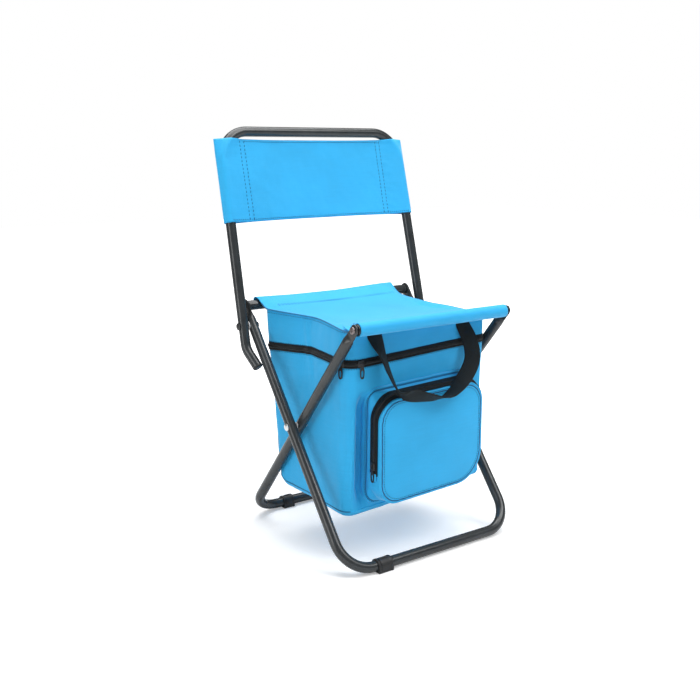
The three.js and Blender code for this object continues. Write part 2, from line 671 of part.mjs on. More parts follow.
function addBag(parent) {
  const walls = [ZIP_Z, ...LEVELS.toReversed()].map((height) => bagRing(height, BAG_WALL));
  const top = bagRing(ZIP_Z, BAG_WALL, true);
  const shell = cup(bagOutside(0), [top, ...walls], BAG_FLOOR_Z + BAG_WALL, BAG_WALL);
  piece(parent, 'bag_body', cut(shell, lidSpace(ZIP_LOW, ZIP_REAR_Y)), 'cloth');
  piece(parent, 'bag_top_band', common(shell, lidSpace(ZIP_HIGH, ZIP_REAR_Y - GAP)), 'cloth');

  const low = [bagRing(ZIP_LOW + GAP, 0), bagRing(ZIP_LOW + GAP, ZIP_T)];
  const high = [bagRing(ZIP_HIGH - GAP, 0), bagRing(ZIP_HIGH - GAP, ZIP_T)];
  const rings = Array.from({ length: ZIP_POINTS }, (_, k) => [low[0][k], high[0][k], high[1][k], low[1][k]]);
  rings[0].concat(rings.at(-1)).forEach((point) => point.setY(point.y - GAP));
  piece(parent, 'main_zip_tape', skin(rings), 'webbing');

  const boardInset = BAG_WALL + BAG_FLOOR_R / 2 + 2 * GAP;
  const board = skin([bagRing(BOARD_Z, boardInset), bagRing(BOARD_Z + BOARD_T, boardInset)]);
  piece(parent, 'bag_base_board', board, 'board');

  const outset = BAG_WALL + LINER_CLEAR;
  const foot = bagRing(LINER_Z, outset + BAG_FLOOR_R / 2);
  const outside = [foot, ...LEVELS.map((height) => bagRing(height, outset))];
  const rim = bagRing(LINER_RIM, outset + LINER_T);
  piece(parent, 'bag_liner', cup(outside, [rim], LINER_Z + LINER_T, outset + LINER_T), 'foil');
}

// Front pocket

const POCKET_Z = BAG_FLOOR_Z + POCKET_FLOOR_RISE + POCKET_H / 2;
const POCKET_FACE_Y = BAG_FRONT_Y - POCKET_DEPTH;
const POCKET_BACK_Y = BAG_FRONT_Y + BAG_FLOOR_FRONT_IN + BAG_CORNER_R;

function pocketBlock(shrink, face, round) {
  const half = POCKET_W / 2 - shrink - round;
  const tall = POCKET_H / 2 - shrink - round;
  const radius = POCKET_R - shrink - round;
  const shape = new THREE.Shape();
  shape.absarc(half - radius, tall - radius, radius, 0, Math.PI / 2);
  shape.absarc(radius - half, tall - radius, radius, Math.PI / 2, Math.PI);
  shape.absarc(radius - half, radius - tall, radius, Math.PI, 1.5 * Math.PI);
  shape.absarc(half - radius, radius - tall, radius, 1.5 * Math.PI, 2 * Math.PI);
  const depth = POCKET_BACK_Y - face - round;
  const bevel = { bevelThickness: round, bevelSize: round, bevelSegments: 2, bevelEnabled: round > 0 };
  const options = { depth, curveSegments: POCKET_CORNER_STEPS / 2, ...bevel };
  const geometry = new THREE.ExtrudeGeometry(shape, options).applyMatrix4(TOWARDS_FRONT);
  return geometry.translate(POCKET_X, POCKET_BACK_Y, POCKET_Z).applyMatrix4(SKEW);
}

// The pocket's edge from low on its left side over its top, pushed outward.
function pocketZipLine(out) {
  const half = POCKET_W / 2;
  const tall = POCKET_H / 2;
  const line = [[-half - out, POCKET_ZIP_START + POCKET_R - tall]];
  for (let k = 0; k <= POCKET_CORNER_STEPS; k += 1) {
    const angle = Math.PI - (k * Math.PI) / 2 / POCKET_CORNER_STEPS;
    const reach = POCKET_R + out;
    line.push([POCKET_R - half + reach * Math.cos(angle), tall - POCKET_R + reach * Math.sin(angle)]);
  }
  line.push([half - POCKET_R, tall + out]);
  return line;
}

const POCKET_ZIP_Y = (BAG_FRONT_Y + POCKET_FACE_Y) / 2;

function addPocket(parent) {
  const hollow = pocketBlock(POCKET_WALL, POCKET_FACE_Y + POCKET_WALL, 0);
  const shell = cut(pocketBlock(0, POCKET_FACE_Y, POCKET_EDGE_R), hollow, skin(bagOutside(GAP)));
  piece(parent, 'pocket_shell', shell, 'cloth');

  const inner = pocketZipLine(GAP);
  const outer = pocketZipLine(GAP + POCKET_ZIP_T);
  const edges = [POCKET_ZIP_Y - POCKET_ZIP_W / 2, POCKET_ZIP_Y + POCKET_ZIP_W / 2];
  const rings = inner.map(([x, z], k) => [
    vector(x, edges[0], z),
    vector(outer[k][0], edges[0], outer[k][1]),
    vector(outer[k][0], edges[1], outer[k][1]),
    vector(x, edges[1], z),
  ]);
  const tape = skin(rings).translate(POCKET_X, 0, POCKET_Z).applyMatrix4(SKEW);
  piece(parent, 'pocket_zip_tape', tape, 'webbing');
}

// Zip sliders, made for a tape that faces -Y, with a wire bridge that holds the pull's eye

const BRIDGE_BORE = BRIDGE_R - BRIDGE_WIRE;
const PULL_BAR_OUT = BRIDGE_BORE / 2;
const PULL_BAR_DROP = BRIDGE_BORE * PULL_BAR_SAG;

function slider() {
  const low = vector(-SLIDER_L / 2, -SLIDER_T - GAP, -SLIDER_W / 2);
  const body = block(low, vector(SLIDER_L / 2, -GAP, SLIDER_W / 2));
  const arch = new THREE.Shape();
  arch.absarc(0, 0, BRIDGE_R, Math.PI / 2, 1.5 * Math.PI);
  arch.lineTo(GAP, -BRIDGE_R);
  arch.lineTo(GAP, -BRIDGE_BORE);
  arch.absarc(0, 0, BRIDGE_BORE, 1.5 * Math.PI, Math.PI / 2, true);
  arch.lineTo(GAP, BRIDGE_BORE);
  arch.lineTo(GAP, BRIDGE_R);
  return join(body, barAlongX(arch, BRIDGE_W / 2).translate(0, -SLIDER_T - GAP, 0));
}

// A pull hanging from its hinge axis at the origin.
function pull() {
  const half = PULL_W / 2;
  const top = PULL_BAR / 2;
  const shape = new THREE.Shape();
  shape.moveTo(-half, top);
  shape.lineTo(-half, half - PULL_L);
  shape.absarc(0, half - PULL_L, half, Math.PI, 2 * Math.PI);
  shape.lineTo(half, top);
  const eye = new THREE.Path();
  eye.moveTo(-PULL_EYE_W / 2, -top);
  eye.lineTo(PULL_EYE_W / 2, -top);
  eye.lineTo(PULL_EYE_W / 2, -top - PULL_EYE_L);
  eye.lineTo(-PULL_EYE_W / 2, -top - PULL_EYE_L);
  shape.holes.push(eye);
  const options = { depth: PULL_T, bevelEnabled: false, curveSegments: BEND_STEPS };
  return new THREE.ExtrudeGeometry(shape, options).translate(0, 0, -PULL_T / 2).applyMatrix4(TOWARDS_FRONT);
}

function addSlider(parent, name, place, spin) {
  const group = new THREE.Group();
  group.position.copy(place);
  group.rotation.z = spin;
  piece(group, `${name}_zip_slider`, slider(), 'moulded');
  const hinge = vector(0, -GAP - SLIDER_T - PULL_BAR_OUT, -PULL_BAR_DROP);
  piece(group, `${name}_zip_pull`, pull(), 'moulded', hinge);
  parent.add(group);
}

// The stretch of the zip on the bag's left side that passes a given Y: its point there and the way it faces.
function leftZipAt(y) {
  const side = bagRing(ZIP_Z, 0).slice(0, BAG_SIDE_STEPS + 1);
  const k = side.findIndex((point) => point.y <= y);
  const share = (y - side[k].y) / (side[k - 1].y - side[k].y);
  const way = side[k].clone().sub(side[k - 1]);
  return { point: side[k].clone().lerp(side[k - 1], share), facing: Math.atan2(way.y, way.x) };
}

function addSliders(parent) {
  const facingLeft = -Math.PI / 2;
  const leftZip = leftZipAt(SIDE_SLIDER_Y);
  addSlider(parent, 'side', leftZip.point, leftZip.facing);
  addSlider(parent, 'front', vector(FRONT_SLIDER_X, BAG_FRONT_Y, ZIP_Z + BAG_SKEW * FRONT_SLIDER_X), 0);
  const tapeX = POCKET_X - POCKET_W / 2 - GAP - POCKET_ZIP_T;
  const sliderZ = POCKET_Z - POCKET_H / 2 + POCKET_SLIDER_RISE + BAG_SKEW * tapeX;
  addSlider(parent, 'pocket', vector(tapeX, POCKET_ZIP_Y, sliderZ), facingLeft);
}

// Carry strap: a flat webbing loop sewn at both ends to the band above the zip
function addStrap(parent) {
  const corners = [
    vector(-STRAP_END_X, 0, 0),
    vector(-STRAP_END_X, 0, -STRAP_END_RUN),
    vector(-STRAP_FLOOR_X, 0, -STRAP_HANG),
    vector(STRAP_FLOOR_X, 0, -STRAP_HANG),
    vector(STRAP_END_X, 0, -STRAP_END_RUN),
    vector(STRAP_END_X, 0, 0),
  ];
  const path = new BentPath(corners, Array(4).fill(STRAP_BEND_R));
  const section = new THREE.Shape();
  section.moveTo(-STRAP_T / 2, -STRAP_W / 2);
  section.lineTo(STRAP_T / 2, -STRAP_W / 2);
  section.lineTo(STRAP_T / 2, STRAP_W / 2);
  section.lineTo(-STRAP_T / 2, STRAP_W / 2);
  const webbing = new THREE.ExtrudeGeometry(section, { steps: path.steps, extrudePath: path });
  const tilt = THREE.MathUtils.degToRad(STRAP_TILT);
  const group = leaning(tilt, BAG_FRONT_Y - GAP - STRAP_T / 2, BAG_TOP_Z - STRAP_END_DROP);
  piece(group, 'carry_strap', webbing, 'webbing');
  parent.add(group);
}

// The whole stool

function buildStool() {
  const stool = new THREE.Group();

  const outerFrame = leaning(OUTER_LEAN, CROSS_Y, CROSS_Z);
  const outerTube = legFrame(OUTER_LEG_X, OUTER_UP, OUTER_DOWN, [0, BACK_PIVOT_S]);
  piece(outerFrame, 'outer_leg_frame', outerTube, 'tube');
  addRail(outerFrame, 'rear', OUTER_LEG_X, OUTER_UP);
  const rivetX = INNER_LEG_X - TUBE_R - GAP;
  const washerX = INNER_LEG_X + TUBE_R + GAP;
  pair(outerFrame, 'leg_pivot_rivet', rivet(), 'bright', vector(rivetX, 0, 0));
  pair(outerFrame, 'leg_pivot_washer', washer(), 'nylon', vector(washerX, 0, 0));
  const backRivet = vector(rivetX + FRAME_STEP, 0, BACK_PIVOT_S);
  pair(outerFrame, 'back_pivot_rivet', rivet(), 'bright', backRivet);
  pair(outerFrame, 'back_pivot_washer', washer(), 'nylon', vector(washerX + FRAME_STEP, 0, BACK_PIVOT_S));
  stool.add(outerFrame);

  const innerFrame = leaning(INNER_LEAN, CROSS_Y, CROSS_Z);
  piece(innerFrame, 'inner_leg_frame', legFrame(INNER_LEG_X, INNER_UP, INNER_DOWN, [0]), 'tube');
  addRail(innerFrame, 'front', INNER_LEG_X, INNER_UP);
  stool.add(innerFrame);

  const back = leaning(THREE.MathUtils.degToRad(BACK_LEAN), BACK_PIVOT_Y, BACK_PIVOT_Z);
  piece(back, 'back_frame_tube', backTube(), 'tube');
  addTailPlugs(back);
  piece(back, 'back_panel', backPanel(), 'cloth');
  stool.add(back);

  addFootClip(stool, 'front_foot_clip', FRONT_CLIP_X, -FLOOR_BAR_Y);
  addFootClip(stool, 'rear_foot_clip', REAR_CLIP_X, FLOOR_BAR_Y);
  piece(stool, 'seat_panel', seatPanel(), 'cloth');
  addBag(stool);
  addPocket(stool);
  addSliders(stool);
  addStrap(stool);

  stool.updateMatrixWorld(true);
  const box = new THREE.Box3().setFromObject(stool, true);
  stool.position.y = -(box.min.y + box.max.y) / 2;
  return stool;
}

export default buildStool();
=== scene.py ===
"""Looks of a folding cooler stool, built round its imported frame: legs, sling seat, back rest and bag."""

import json
import math

import bpy
import numpy as np
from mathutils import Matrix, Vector


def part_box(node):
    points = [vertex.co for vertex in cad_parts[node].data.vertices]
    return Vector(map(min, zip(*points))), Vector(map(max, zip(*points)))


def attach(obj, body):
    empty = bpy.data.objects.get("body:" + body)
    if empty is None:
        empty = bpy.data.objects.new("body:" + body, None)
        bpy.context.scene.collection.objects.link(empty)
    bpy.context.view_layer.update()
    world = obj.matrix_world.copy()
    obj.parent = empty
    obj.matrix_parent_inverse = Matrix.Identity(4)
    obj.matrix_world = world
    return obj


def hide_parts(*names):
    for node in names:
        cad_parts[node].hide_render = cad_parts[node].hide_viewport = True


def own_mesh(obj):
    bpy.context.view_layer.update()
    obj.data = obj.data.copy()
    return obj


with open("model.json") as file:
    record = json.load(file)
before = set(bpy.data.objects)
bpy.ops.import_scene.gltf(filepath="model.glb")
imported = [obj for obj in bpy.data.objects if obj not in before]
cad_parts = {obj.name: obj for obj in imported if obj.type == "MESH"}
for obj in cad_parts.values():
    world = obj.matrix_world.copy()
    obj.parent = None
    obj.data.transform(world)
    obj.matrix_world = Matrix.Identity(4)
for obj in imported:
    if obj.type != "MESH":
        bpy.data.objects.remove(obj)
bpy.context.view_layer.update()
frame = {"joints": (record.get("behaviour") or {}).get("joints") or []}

MM = 0.001
TURN = 2 * np.pi
X, Y, Z = np.eye(3)
JOINTS = {joint["name"]: np.array(joint["pos_m"]) for joint in frame["joints"] if "pos_m" in joint}
SIDES = ((-1, "left"), (1, "right"))


def middle(node):
    """Middle of a node's box: half the sum of its two corners."""
    return np.array(sum(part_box(node), Vector())) / 2


def unit(v):
    """Vectors over their own lengths."""
    return v / np.linalg.norm(v, axis=-1, keepdims=True)


def smooth(share):
    """A share eased from 0 to 1: three times its square less twice its cube."""
    share = np.clip(share, 0, 1)
    return share * share * (3 - 2 * share)


def bell(value, width):
    """A bell of height 1: e to the minus square of the value over the width."""
    return np.exp(-((value / width) ** 2))


def circle(sides):
    """Cosines and sines at even steps round a circle."""
    angle = np.arange(sides) / sides * TURN
    return np.cos(angle), np.sin(angle)


# Sizes that the looks share with the frame

TUBE_R = 7.5 * MM
GAP = 0.3 * MM
BAR_Z = 8.6 * MM
BEND_R = 45 * MM
CLOTH_T = 1.3 * MM
WASHER_T = 1 * MM

REAR_RAIL = middle("rear_seat_rail")
FRONT_RAIL = middle("front_seat_rail")
LEG_PIVOT = JOINTS["leg_fold"]
BACK_PIVOT = JOINTS["back_fold"]
FRONT_BAR = np.array([0, middle("front_foot_clip")[1], BAR_Z])
REAR_BAR = np.array([0, middle("rear_foot_clip")[1], BAR_Z])
LEG_WASHER_X = abs(middle("leg_pivot_washer_right")[0])
BACK_WASHER_X = abs(middle("back_pivot_washer_right")[0])
STEP_X = WASHER_T / 2 + GAP + TUBE_R
INNER_X = LEG_WASHER_X - STEP_X
OUTER_X = LEG_WASHER_X + STEP_X
BACK_X = BACK_WASHER_X + STEP_X

# An axis and shares for the seat and bag to flatten towards the rear rail as the legs close, and what is in
# the bag a little more; this script only gives such pieces meshes of their own
FOLD_AXIS = (0, 0.99657, 0.0828)
FOLD_KEEP = 0.0746
INSIDE_KEEP = 0.05
INSIDE_STEP = 3.05 * MM
SOFT = (tuple(REAR_RAIL), FOLD_KEEP)
INSIDE = (tuple(REAR_RAIL - INSIDE_STEP * np.array(FOLD_AXIS)), INSIDE_KEEP)


def lean_of(low, high):
    """Unit vector up a leaning tube, and the one square to it and to X."""
    up = unit(high - low)
    return up, np.cross(X, up)


# Lines

ARC_POINTS = 28


def bent_line(corners, radii):
    """Straight runs between corners, each inner corner replaced by an arc that touches both runs."""
    corners = np.asarray(corners, float)
    ways = unit(np.diff(corners, axis=0))
    parts = [corners[:1]]
    for before, after, corner, radius in zip(ways, ways[1:], corners[1:], radii):
        turn = math.acos(np.clip(before @ after, -1, 1))
        inward = unit(after - before * (before @ after))
        angle = np.linspace(0, turn, ARC_POINTS)[:, None]
        start = corner - before * radius * math.tan(turn / 2)
        parts.append(start + radius * (np.sin(angle) * before + (1 - np.cos(angle)) * inward))
    return np.concatenate([*parts, corners[-1:]])


def run_of(line):
    """Running length at each point of a line."""
    return np.concatenate([[0], np.cumsum(np.linalg.norm(np.diff(line, axis=0), axis=1))])


def sampled(run, at, field):
    """A field known at running lengths, taken at other lengths."""
    return np.stack([np.interp(at, run, axis) for axis in field.T], 1)


def spaced(line, count):
    """The same line as a count of evenly spaced points."""
    run = run_of(line)
    return sampled(run, np.linspace(0, run[-1], count), line)


def flowing(knots, count):
    """A smooth line through knots: each span is the cubic whose end slopes are half the step between
    neighbours."""
    slope = np.gradient(knots, axis=0)
    t = np.linspace(0, 1, ARC_POINTS)[:-1, None, None]
    a, b, c, d = knots[:-1], knots[1:], slope[:-1], slope[1:]
    cubic = a + t * (c + t * (3 * (b - a) - 2 * c - d + t * (2 * (a - b) + c + d)))
    return spaced(np.concatenate([cubic.transpose(1, 0, 2).reshape(-1, knots.shape[1]), knots[-1:]]), count)


def ways_of(line):
    """Unit vectors along a line, by the step between each point's neighbours."""
    return unit(np.gradient(line, axis=0))


def square(way, along):
    """A way less its part along another, of unit length."""
    return unit(way - (way * along).sum(-1, keepdims=True) * along)


def rings_along(line, side, wide, thick, sides):
    """Rings along a line: line + side * wide * cos(angle) + up * thick * sin(angle), where side is a given
    vector made square to the line and up is square to both."""
    along = ways_of(line)
    side = square(np.broadcast_to(side, line.shape), along)
    up = np.cross(along, side)
    wide, thick = (np.broadcast_to(v, len(line))[:, None, None] for v in (wide, thick))
    cos, sin = (v[None, :, None] for v in circle(sides))
    return line[:, None] + side[:, None] * wide * cos + up[:, None] * thick * sin


# Meshes

TUBE_SIDES = 32
BEAD_SIDES = 10
STITCH_ROWS = 5
STITCH_SIDES = 6


def joined(grid):
    """A grid with its first column again at its end."""
    return np.concatenate([grid, grid[:, :1]], 1)


def cloth_uv(grid, ring):
    """Cloth coordinates in metres: running lengths along the grid's rows and columns, each from its
    middle."""
    grid = joined(grid) if ring else grid
    u = np.cumsum(np.linalg.norm(np.diff(grid, axis=1, prepend=grid[:, :1]), axis=-1), 1)
    v = np.cumsum(np.linalg.norm(np.diff(grid, axis=0, prepend=grid[:1]), axis=-1), 0)
    return np.stack([u - u[:, u.shape[1] // 2][:, None], v - v[v.shape[0] // 2][None]], -1)


def grid_faces(grid, ring=False, loop=False, caps=False, pole=False, uv=None):
    """Points, faces and face-corner coordinates of a grid: ring joins each row's ends, loop joins the last
    row to the first, caps closes the first and last rows with fans, pole closes the first row alone."""
    rows, cols = grid.shape[:2]
    uv = cloth_uv(grid, ring) if uv is None else uv
    wide = uv.shape[1]
    r, c = (v.ravel() for v in np.mgrid[: rows if loop else rows - 1, : cols if ring else cols - 1])
    corner_r = np.stack([r, r, r + 1, r + 1], 1) % rows
    corner_c = np.stack([c, c + 1, c + 1, c], 1)
    points, faces = grid.reshape(-1, 3), [corner_r * cols + corner_c % cols]
    coords = [uv.reshape(-1, 2)[corner_r * wide + np.minimum(corner_c, wide - 1)].reshape(-1, 2)]
    k = np.arange(cols)
    after, last, hub = (k + 1) % cols, (rows - 1) * cols, np.full(cols, rows * cols)
    fan = np.stack([hub, after, k], 1)
    if caps:
        fans = np.concatenate([fan, np.stack([hub + 1, last + k, last + after], 1)])
        points = np.concatenate([points, grid[:1].mean(1), grid[-1:].mean(1)])
        flat = points[fans] - points[fans].mean((0, 1))
        faces.append(fans)
        coords.append(np.stack([flat[..., 0] + flat[..., 2], flat[..., 1]], -1).reshape(-1, 2))
    if pole:
        points = np.concatenate([points, grid[:1].mean(1)])
        faces.append(fan)
        hub_uv = np.broadcast_to(uv[:1].mean((0, 1)), (cols, 2))
        coords.append(np.stack([hub_uv, uv[0, 1 : cols + 1], uv[0, :cols]], 1).reshape(-1, 2))
    return points, faces, coords


def faces_out(points, faces):
    """Whether faces enclose a positive volume: the sum of a . (b x c) over their triangles."""
    total = 0
    for f in faces:
        for k in range(1, f.shape[1] - 1):
            a, b, c = (points[f[:, corner]] for corner in (0, k, k + 1))
            total += (a * np.cross(b, c)).sum()
    return total > 0


def linked(name, data):
    """A new object in the scene."""
    thing = bpy.data.objects.new(name, data)
    bpy.context.scene.collection.objects.link(thing)
    return thing


def make(name, shells, finish, body, *nodes, fold=None, thickness=0, sharp=40):
    """A piece from several shells, each a tuple of points, faces and face-corner coordinates. Closed shells
    are turned to face outward; open cloth is thickened by a Solidify modifier. The piece rides on a body,
    stands for the nodes that it replaces, and with a fold it gets a mesh of its own."""
    slot, material = finish
    points, corners, sizes, coords = [], [], [], []
    offset = 0
    for shell_points, faces, uvs in shells:
        order = 1 if thickness or faces_out(shell_points, faces) else -1
        for f, uv in zip(faces, uvs):
            corners.append((f[:, ::order] + offset).ravel())
            coords.append(uv.reshape(len(f), -1, 2)[:, ::order].reshape(-1, 2))
            sizes.append(np.full(len(f), f.shape[1]))
        points.append(shell_points)
        offset += len(shell_points)
    points, corners, sizes, coords = (np.concatenate(part) for part in (points, corners, sizes, coords))
    starts = np.concatenate([[0], np.cumsum(sizes)[:-1]])
    mesh = bpy.data.meshes.new(name)
    mesh.vertices.add(len(points))
    mesh.vertices.foreach_set("co", points.astype(np.float32).ravel())
    mesh.loops.add(len(corners))
    mesh.loops.foreach_set("vertex_index", corners.astype(np.int32))
    mesh.polygons.add(len(sizes))
    mesh.polygons.foreach_set("loop_start", starts.astype(np.int32))
    mesh.uv_layers.new(name="UVMap").uv.foreach_set("vector", coords.astype(np.float32).ravel())
    mesh.update(calc_edges=True)
    mesh.validate()
    mesh.shade_smooth()
    mesh.set_sharp_from_angle(angle=math.radians(sharp))
    mesh.materials.append(material)
    piece = linked(name, mesh)
    if thickness:
        layer = piece.modifiers.new("thickness", "SOLIDIFY")
        layer.thickness = thickness
        layer.offset = 0
    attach(piece, body)
    if nodes:
        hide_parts(*nodes)
    if fold:
        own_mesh(piece)
    return piece


def cloth_piece(name, grids, finish, body, *nodes, fold=None, thickness=CLOTH_T, ring=False, uvs=None):
    """Cloth from one or more grids of points; a grid with its own coordinates is a disc whose first row
    closes on its middle."""
    uvs = uvs or [None] * len(grids)
    shells = [grid_faces(grid, ring=ring, pole=uv is not None, uv=uv) for grid, uv in zip(grids, uvs)]
    return make(name, shells, finish, body, *nodes, fold=fold, thickness=thickness)


def tube(line, side, wide, thick, sides=TUBE_SIDES):
    """A closed round or flat bar along a line."""
    return grid_faces(rings_along(line, side, wide, thick, sides), ring=True, caps=True)


def bead(line, side, radius):
    """A thin round bead along a line."""
    return tube(line, side, radius, radius, BEAD_SIDES)


def bead_ring(line, radius):
    """A thin round bead along a closed line that goes round Y."""
    return grid_faces(rings_along(line, Y, radius, radius, BEAD_SIDES), ring=True, loop=True)


def round_bar(start, end, radius, side, edge=0.6 * MM):
    """A straight bar whose radius falls off at each end by a quarter of a circle."""
    length = np.linalg.norm(end - start)
    near = np.array([0, edge * 0.3, edge])
    at = np.concatenate([near, np.linspace(edge, length - edge, 12)[1:-1], length - near[::-1]])
    inside = np.clip(np.minimum(at, length - at) / edge, 0, 1)
    thick = radius - edge + edge * np.sqrt(1 - (1 - inside) ** 2)
    return tube(start + (end - start) * at[:, None] / length, side, thick, thick)


def turned(profile, centre, axis, side, sides=36, loop=False):
    """A profile of (along, radius) pairs turned about an axis; loop makes it a ring with a hole."""
    profile = np.asarray(profile, float)
    cos, sin = (v[:, None] for v in circle(sides))
    spokes = cos * side + sin * np.cross(axis, side)
    grid = centre + profile[:, None, :1] * axis + profile[:, None, 1:] * spokes
    return grid_faces(grid, ring=True, caps=not loop, loop=loop)


def stitches(line, lift, pitch=3.6 * MM, share=0.74, radius=0.42 * MM):
    """Thread along a line: each stitch is a bead whose middle stands radius * 0.6 above the cloth and whose
    ends dip under it, radius * (0.35 + 0.65 sin(pi t)) thick at share t of its length."""
    run = run_of(line)
    count = max(int(run[-1] / pitch), 1)
    t = np.linspace(0, 1, STITCH_ROWS)
    at = ((np.arange(count)[:, None] + (1 - share) / 2 + share * t) * run[-1] / count).ravel()
    fields = (line, ways_of(line), np.broadcast_to(lift, line.shape))
    centre, along, lift = (sampled(run, at, field) for field in fields)
    lift = square(lift, along)
    rise = np.tile(np.sin(np.pi * t), count)[:, None]
    centre = centre + lift * radius * (1.1 * rise - 0.5)
    thick = (radius * (0.35 + 0.65 * rise))[..., None]
    cos, sin = (v[None, :, None] for v in circle(STITCH_SIDES))
    grid = centre[:, None] + thick * (cos * np.cross(along, lift)[:, None] + sin * lift[:, None])
    beads = grid.reshape(count, STITCH_ROWS, STITCH_SIDES, 3)
    points, faces, coords = grid_faces(beads[0], ring=True, caps=True)
    ends = np.stack([beads[:, 0].mean(1), beads[:, -1].mean(1)], 1)
    all_points = np.concatenate([beads.reshape(count, -1, 3), ends], 1).reshape(-1, 3)
    offsets = (np.arange(count) * len(points))[:, None, None]
    all_faces = [(f[None] + offsets).reshape(-1, f.shape[1]) for f in faces]
    return all_points, all_faces, [np.tile(uv, (count, 1)) for uv in coords]


def seam(line, lift):
    """A row of long stitches."""
    return stitches(line, lift, 5.6 * MM, 0.66, 0.5 * MM)


# Materials

UV_OUT = 2
OBJECT_OUT = 3


class Nodes:
    """A material whose nodes are added by short calls."""

    def __init__(self, name):
        """A new material with its shader."""
        self.material = bpy.data.materials.new(name)
        self.material.use_nodes = True
        self.tree = self.material.node_tree
        self.shader = self.tree.nodes["Principled BSDF"]

    def set(self, node, values):
        """Links or sets a node's inputs."""
        for key, value in values.items():
            socket = node.inputs[key]
            if isinstance(value, bpy.types.NodeSocket):
                self.tree.links.new(value, socket)
            else:
                socket.default_value = value

    def add(self, kind, values=None, out=0, **attributes):
        """Adds a node and gives one of its outputs."""
        node = self.tree.nodes.new("ShaderNode" + kind)
        for key, value in attributes.items():
            setattr(node, key, value)
        self.set(node, values or {})
        return node.outputs[out]

    def place(self):
        """Object coordinates."""
        return self.add("TexCoord", out=OBJECT_OUT)

    def math(self, operation, a, b=0.0):
        """One operation on two values."""
        return self.add("Math", {0: a, 1: b}, operation=operation)

    def noise(self, place, scale, detail=2.0, rough=0.5, stretch=None):
        """Noise at a place, which may be stretched first."""
        if stretch:
            place = self.add("Mapping", {"Vector": place, "Scale": stretch})
        return self.add("TexNoise", {"Vector": place, "Scale": scale, "Detail": detail, "Roughness": rough})

    def between(self, share, low, high):
        """A value from low to high as share goes from 0 to 1."""
        return self.add("MapRange", {"Value": share, "To Min": low, "To Max": high})

    def blend(self, share, a, b, mode="MIX"):
        """Two colours mixed by a share: inputs 0, 6 and 7 of the node."""
        a, b = (v if isinstance(v, bpy.types.NodeSocket) else (*v, 1) for v in (a, b))
        return self.add("Mix", {0: share, 6: a, 7: b}, 2, data_type="RGBA", blend_type=mode)

    def ramp(self, share, low, high, start=0.3, end=0.7):
        """Colour from low to high as share goes from start to end."""
        factor = self.add("MapRange", {"Value": share, "From Min": start, "From Max": end})
        return self.blend(factor, low, high)

    def bump(self, height, depth, strength, **below):
        """A normal tilted by a height, over another normal where one is given."""
        return self.add("Bump", {"Height": height, "Distance": depth, "Strength": strength, **below})

    def finish(self, **values):
        """Sets the shader's inputs, named with _ for each space, and gives the material."""
        self.set(self.shader, {key.replace("_", " "): value for key, value in values.items()})
        return self.material


def shaded(colour, factor):
    """A colour times a factor, up to 1."""
    return tuple(min(c * factor, 1) for c in colour)


def weave(nodes, pitch):
    """Plain weave on the cloth's own coordinates: sin(u) * sin(v), so that yarns go over and under."""
    uv = nodes.add("TexCoord", out=UV_OUT)
    parts = nodes.add("SeparateXYZ", {0: uv}).node.outputs
    warp, weft = (nodes.math("SINE", nodes.math("MULTIPLY", parts[k], np.pi / pitch)) for k in (0, 1))
    return uv, nodes.math("MULTIPLY", warp, weft), weft


def oxford(name, colour, pitch=0.62 * MM, depth=0.16 * MM, fade=0.05):
    """Coated oxford cloth: checker weave, slubs, thicker yarns along the weft, faint fading and creases."""
    nodes = Nodes(name)
    uv, checker, _ = weave(nodes, pitch)
    place = nodes.place()
    slub = nodes.noise(uv, 520.0, 3.0)
    yarn = nodes.noise(uv, 420.0, 3.0, 0.6, stretch=(0.06, 1, 1))
    patch = nodes.noise(place, 14.0, 3.0, 0.55)
    crease = nodes.noise(place, 46.0, 4.0, 0.6)
    fine = nodes.bump(nodes.math("ADD", nodes.math("MULTIPLY", checker, 0.5), slub), depth, 0.55)
    base = nodes.ramp(patch, shaded(colour, 1 - fade), shaded(colour, 1 + fade))
    # The weave's tone follows its height: painted shade where the yarns dip under, painted highlight where
    # they cross over.
    for tone in (
        nodes.ramp(checker, (0.86, 0.89, 0.92), (1.06, 1.05, 1.04), -0.9, 0.9),
        nodes.ramp(yarn, (0.95, 0.96, 0.97), (1.04, 1.03, 1.02)),
    ):
        base = nodes.blend(1.0, base, tone, "MULTIPLY")
    return nodes.finish(
        Base_Color=base, Normal=nodes.bump(crease, 1.1 * MM, 0.35, Normal=fine),
        Roughness=nodes.between(slub, 0.5, 0.72), Specular_IOR_Level=0.3,
        Sheen_Weight=0.32, Sheen_Roughness=0.4, Sheen_Tint=(0.8, 0.95, 1, 1))


def webbing(name, colour, rib=1.25 * MM):
    """Woven webbing: ribs across, each a row of slanted picks, with painted shade between the ribs, painted
    highlight on their tops, and paler worn patches.
    """
    nodes = Nodes(name)
    _, checker, weft = weave(nodes, rib)
    worn = nodes.noise(nodes.place(), 60.0, 3.0)
    height = nodes.math("ADD", nodes.math("MULTIPLY", checker, 0.6), nodes.math("MULTIPLY", weft, 0.5))
    # Tone by the weave's height: painted shade in the hollows and painted highlight on the rib tops.
    base = nodes.ramp(height, shaded(colour, 0.55), shaded(colour, 1.35), -0.8, 0.9)
    base = nodes.blend(nodes.between(worn, 0.0, 0.35), base, shaded(colour, 1.8))
    return nodes.finish(
        Base_Color=base, Normal=nodes.bump(height, 0.3 * MM, 0.8), Roughness=nodes.between(worn, 0.55, 0.78),
        Specular_IOR_Level=0.24, Sheen_Weight=0.03, Sheen_Roughness=0.5)


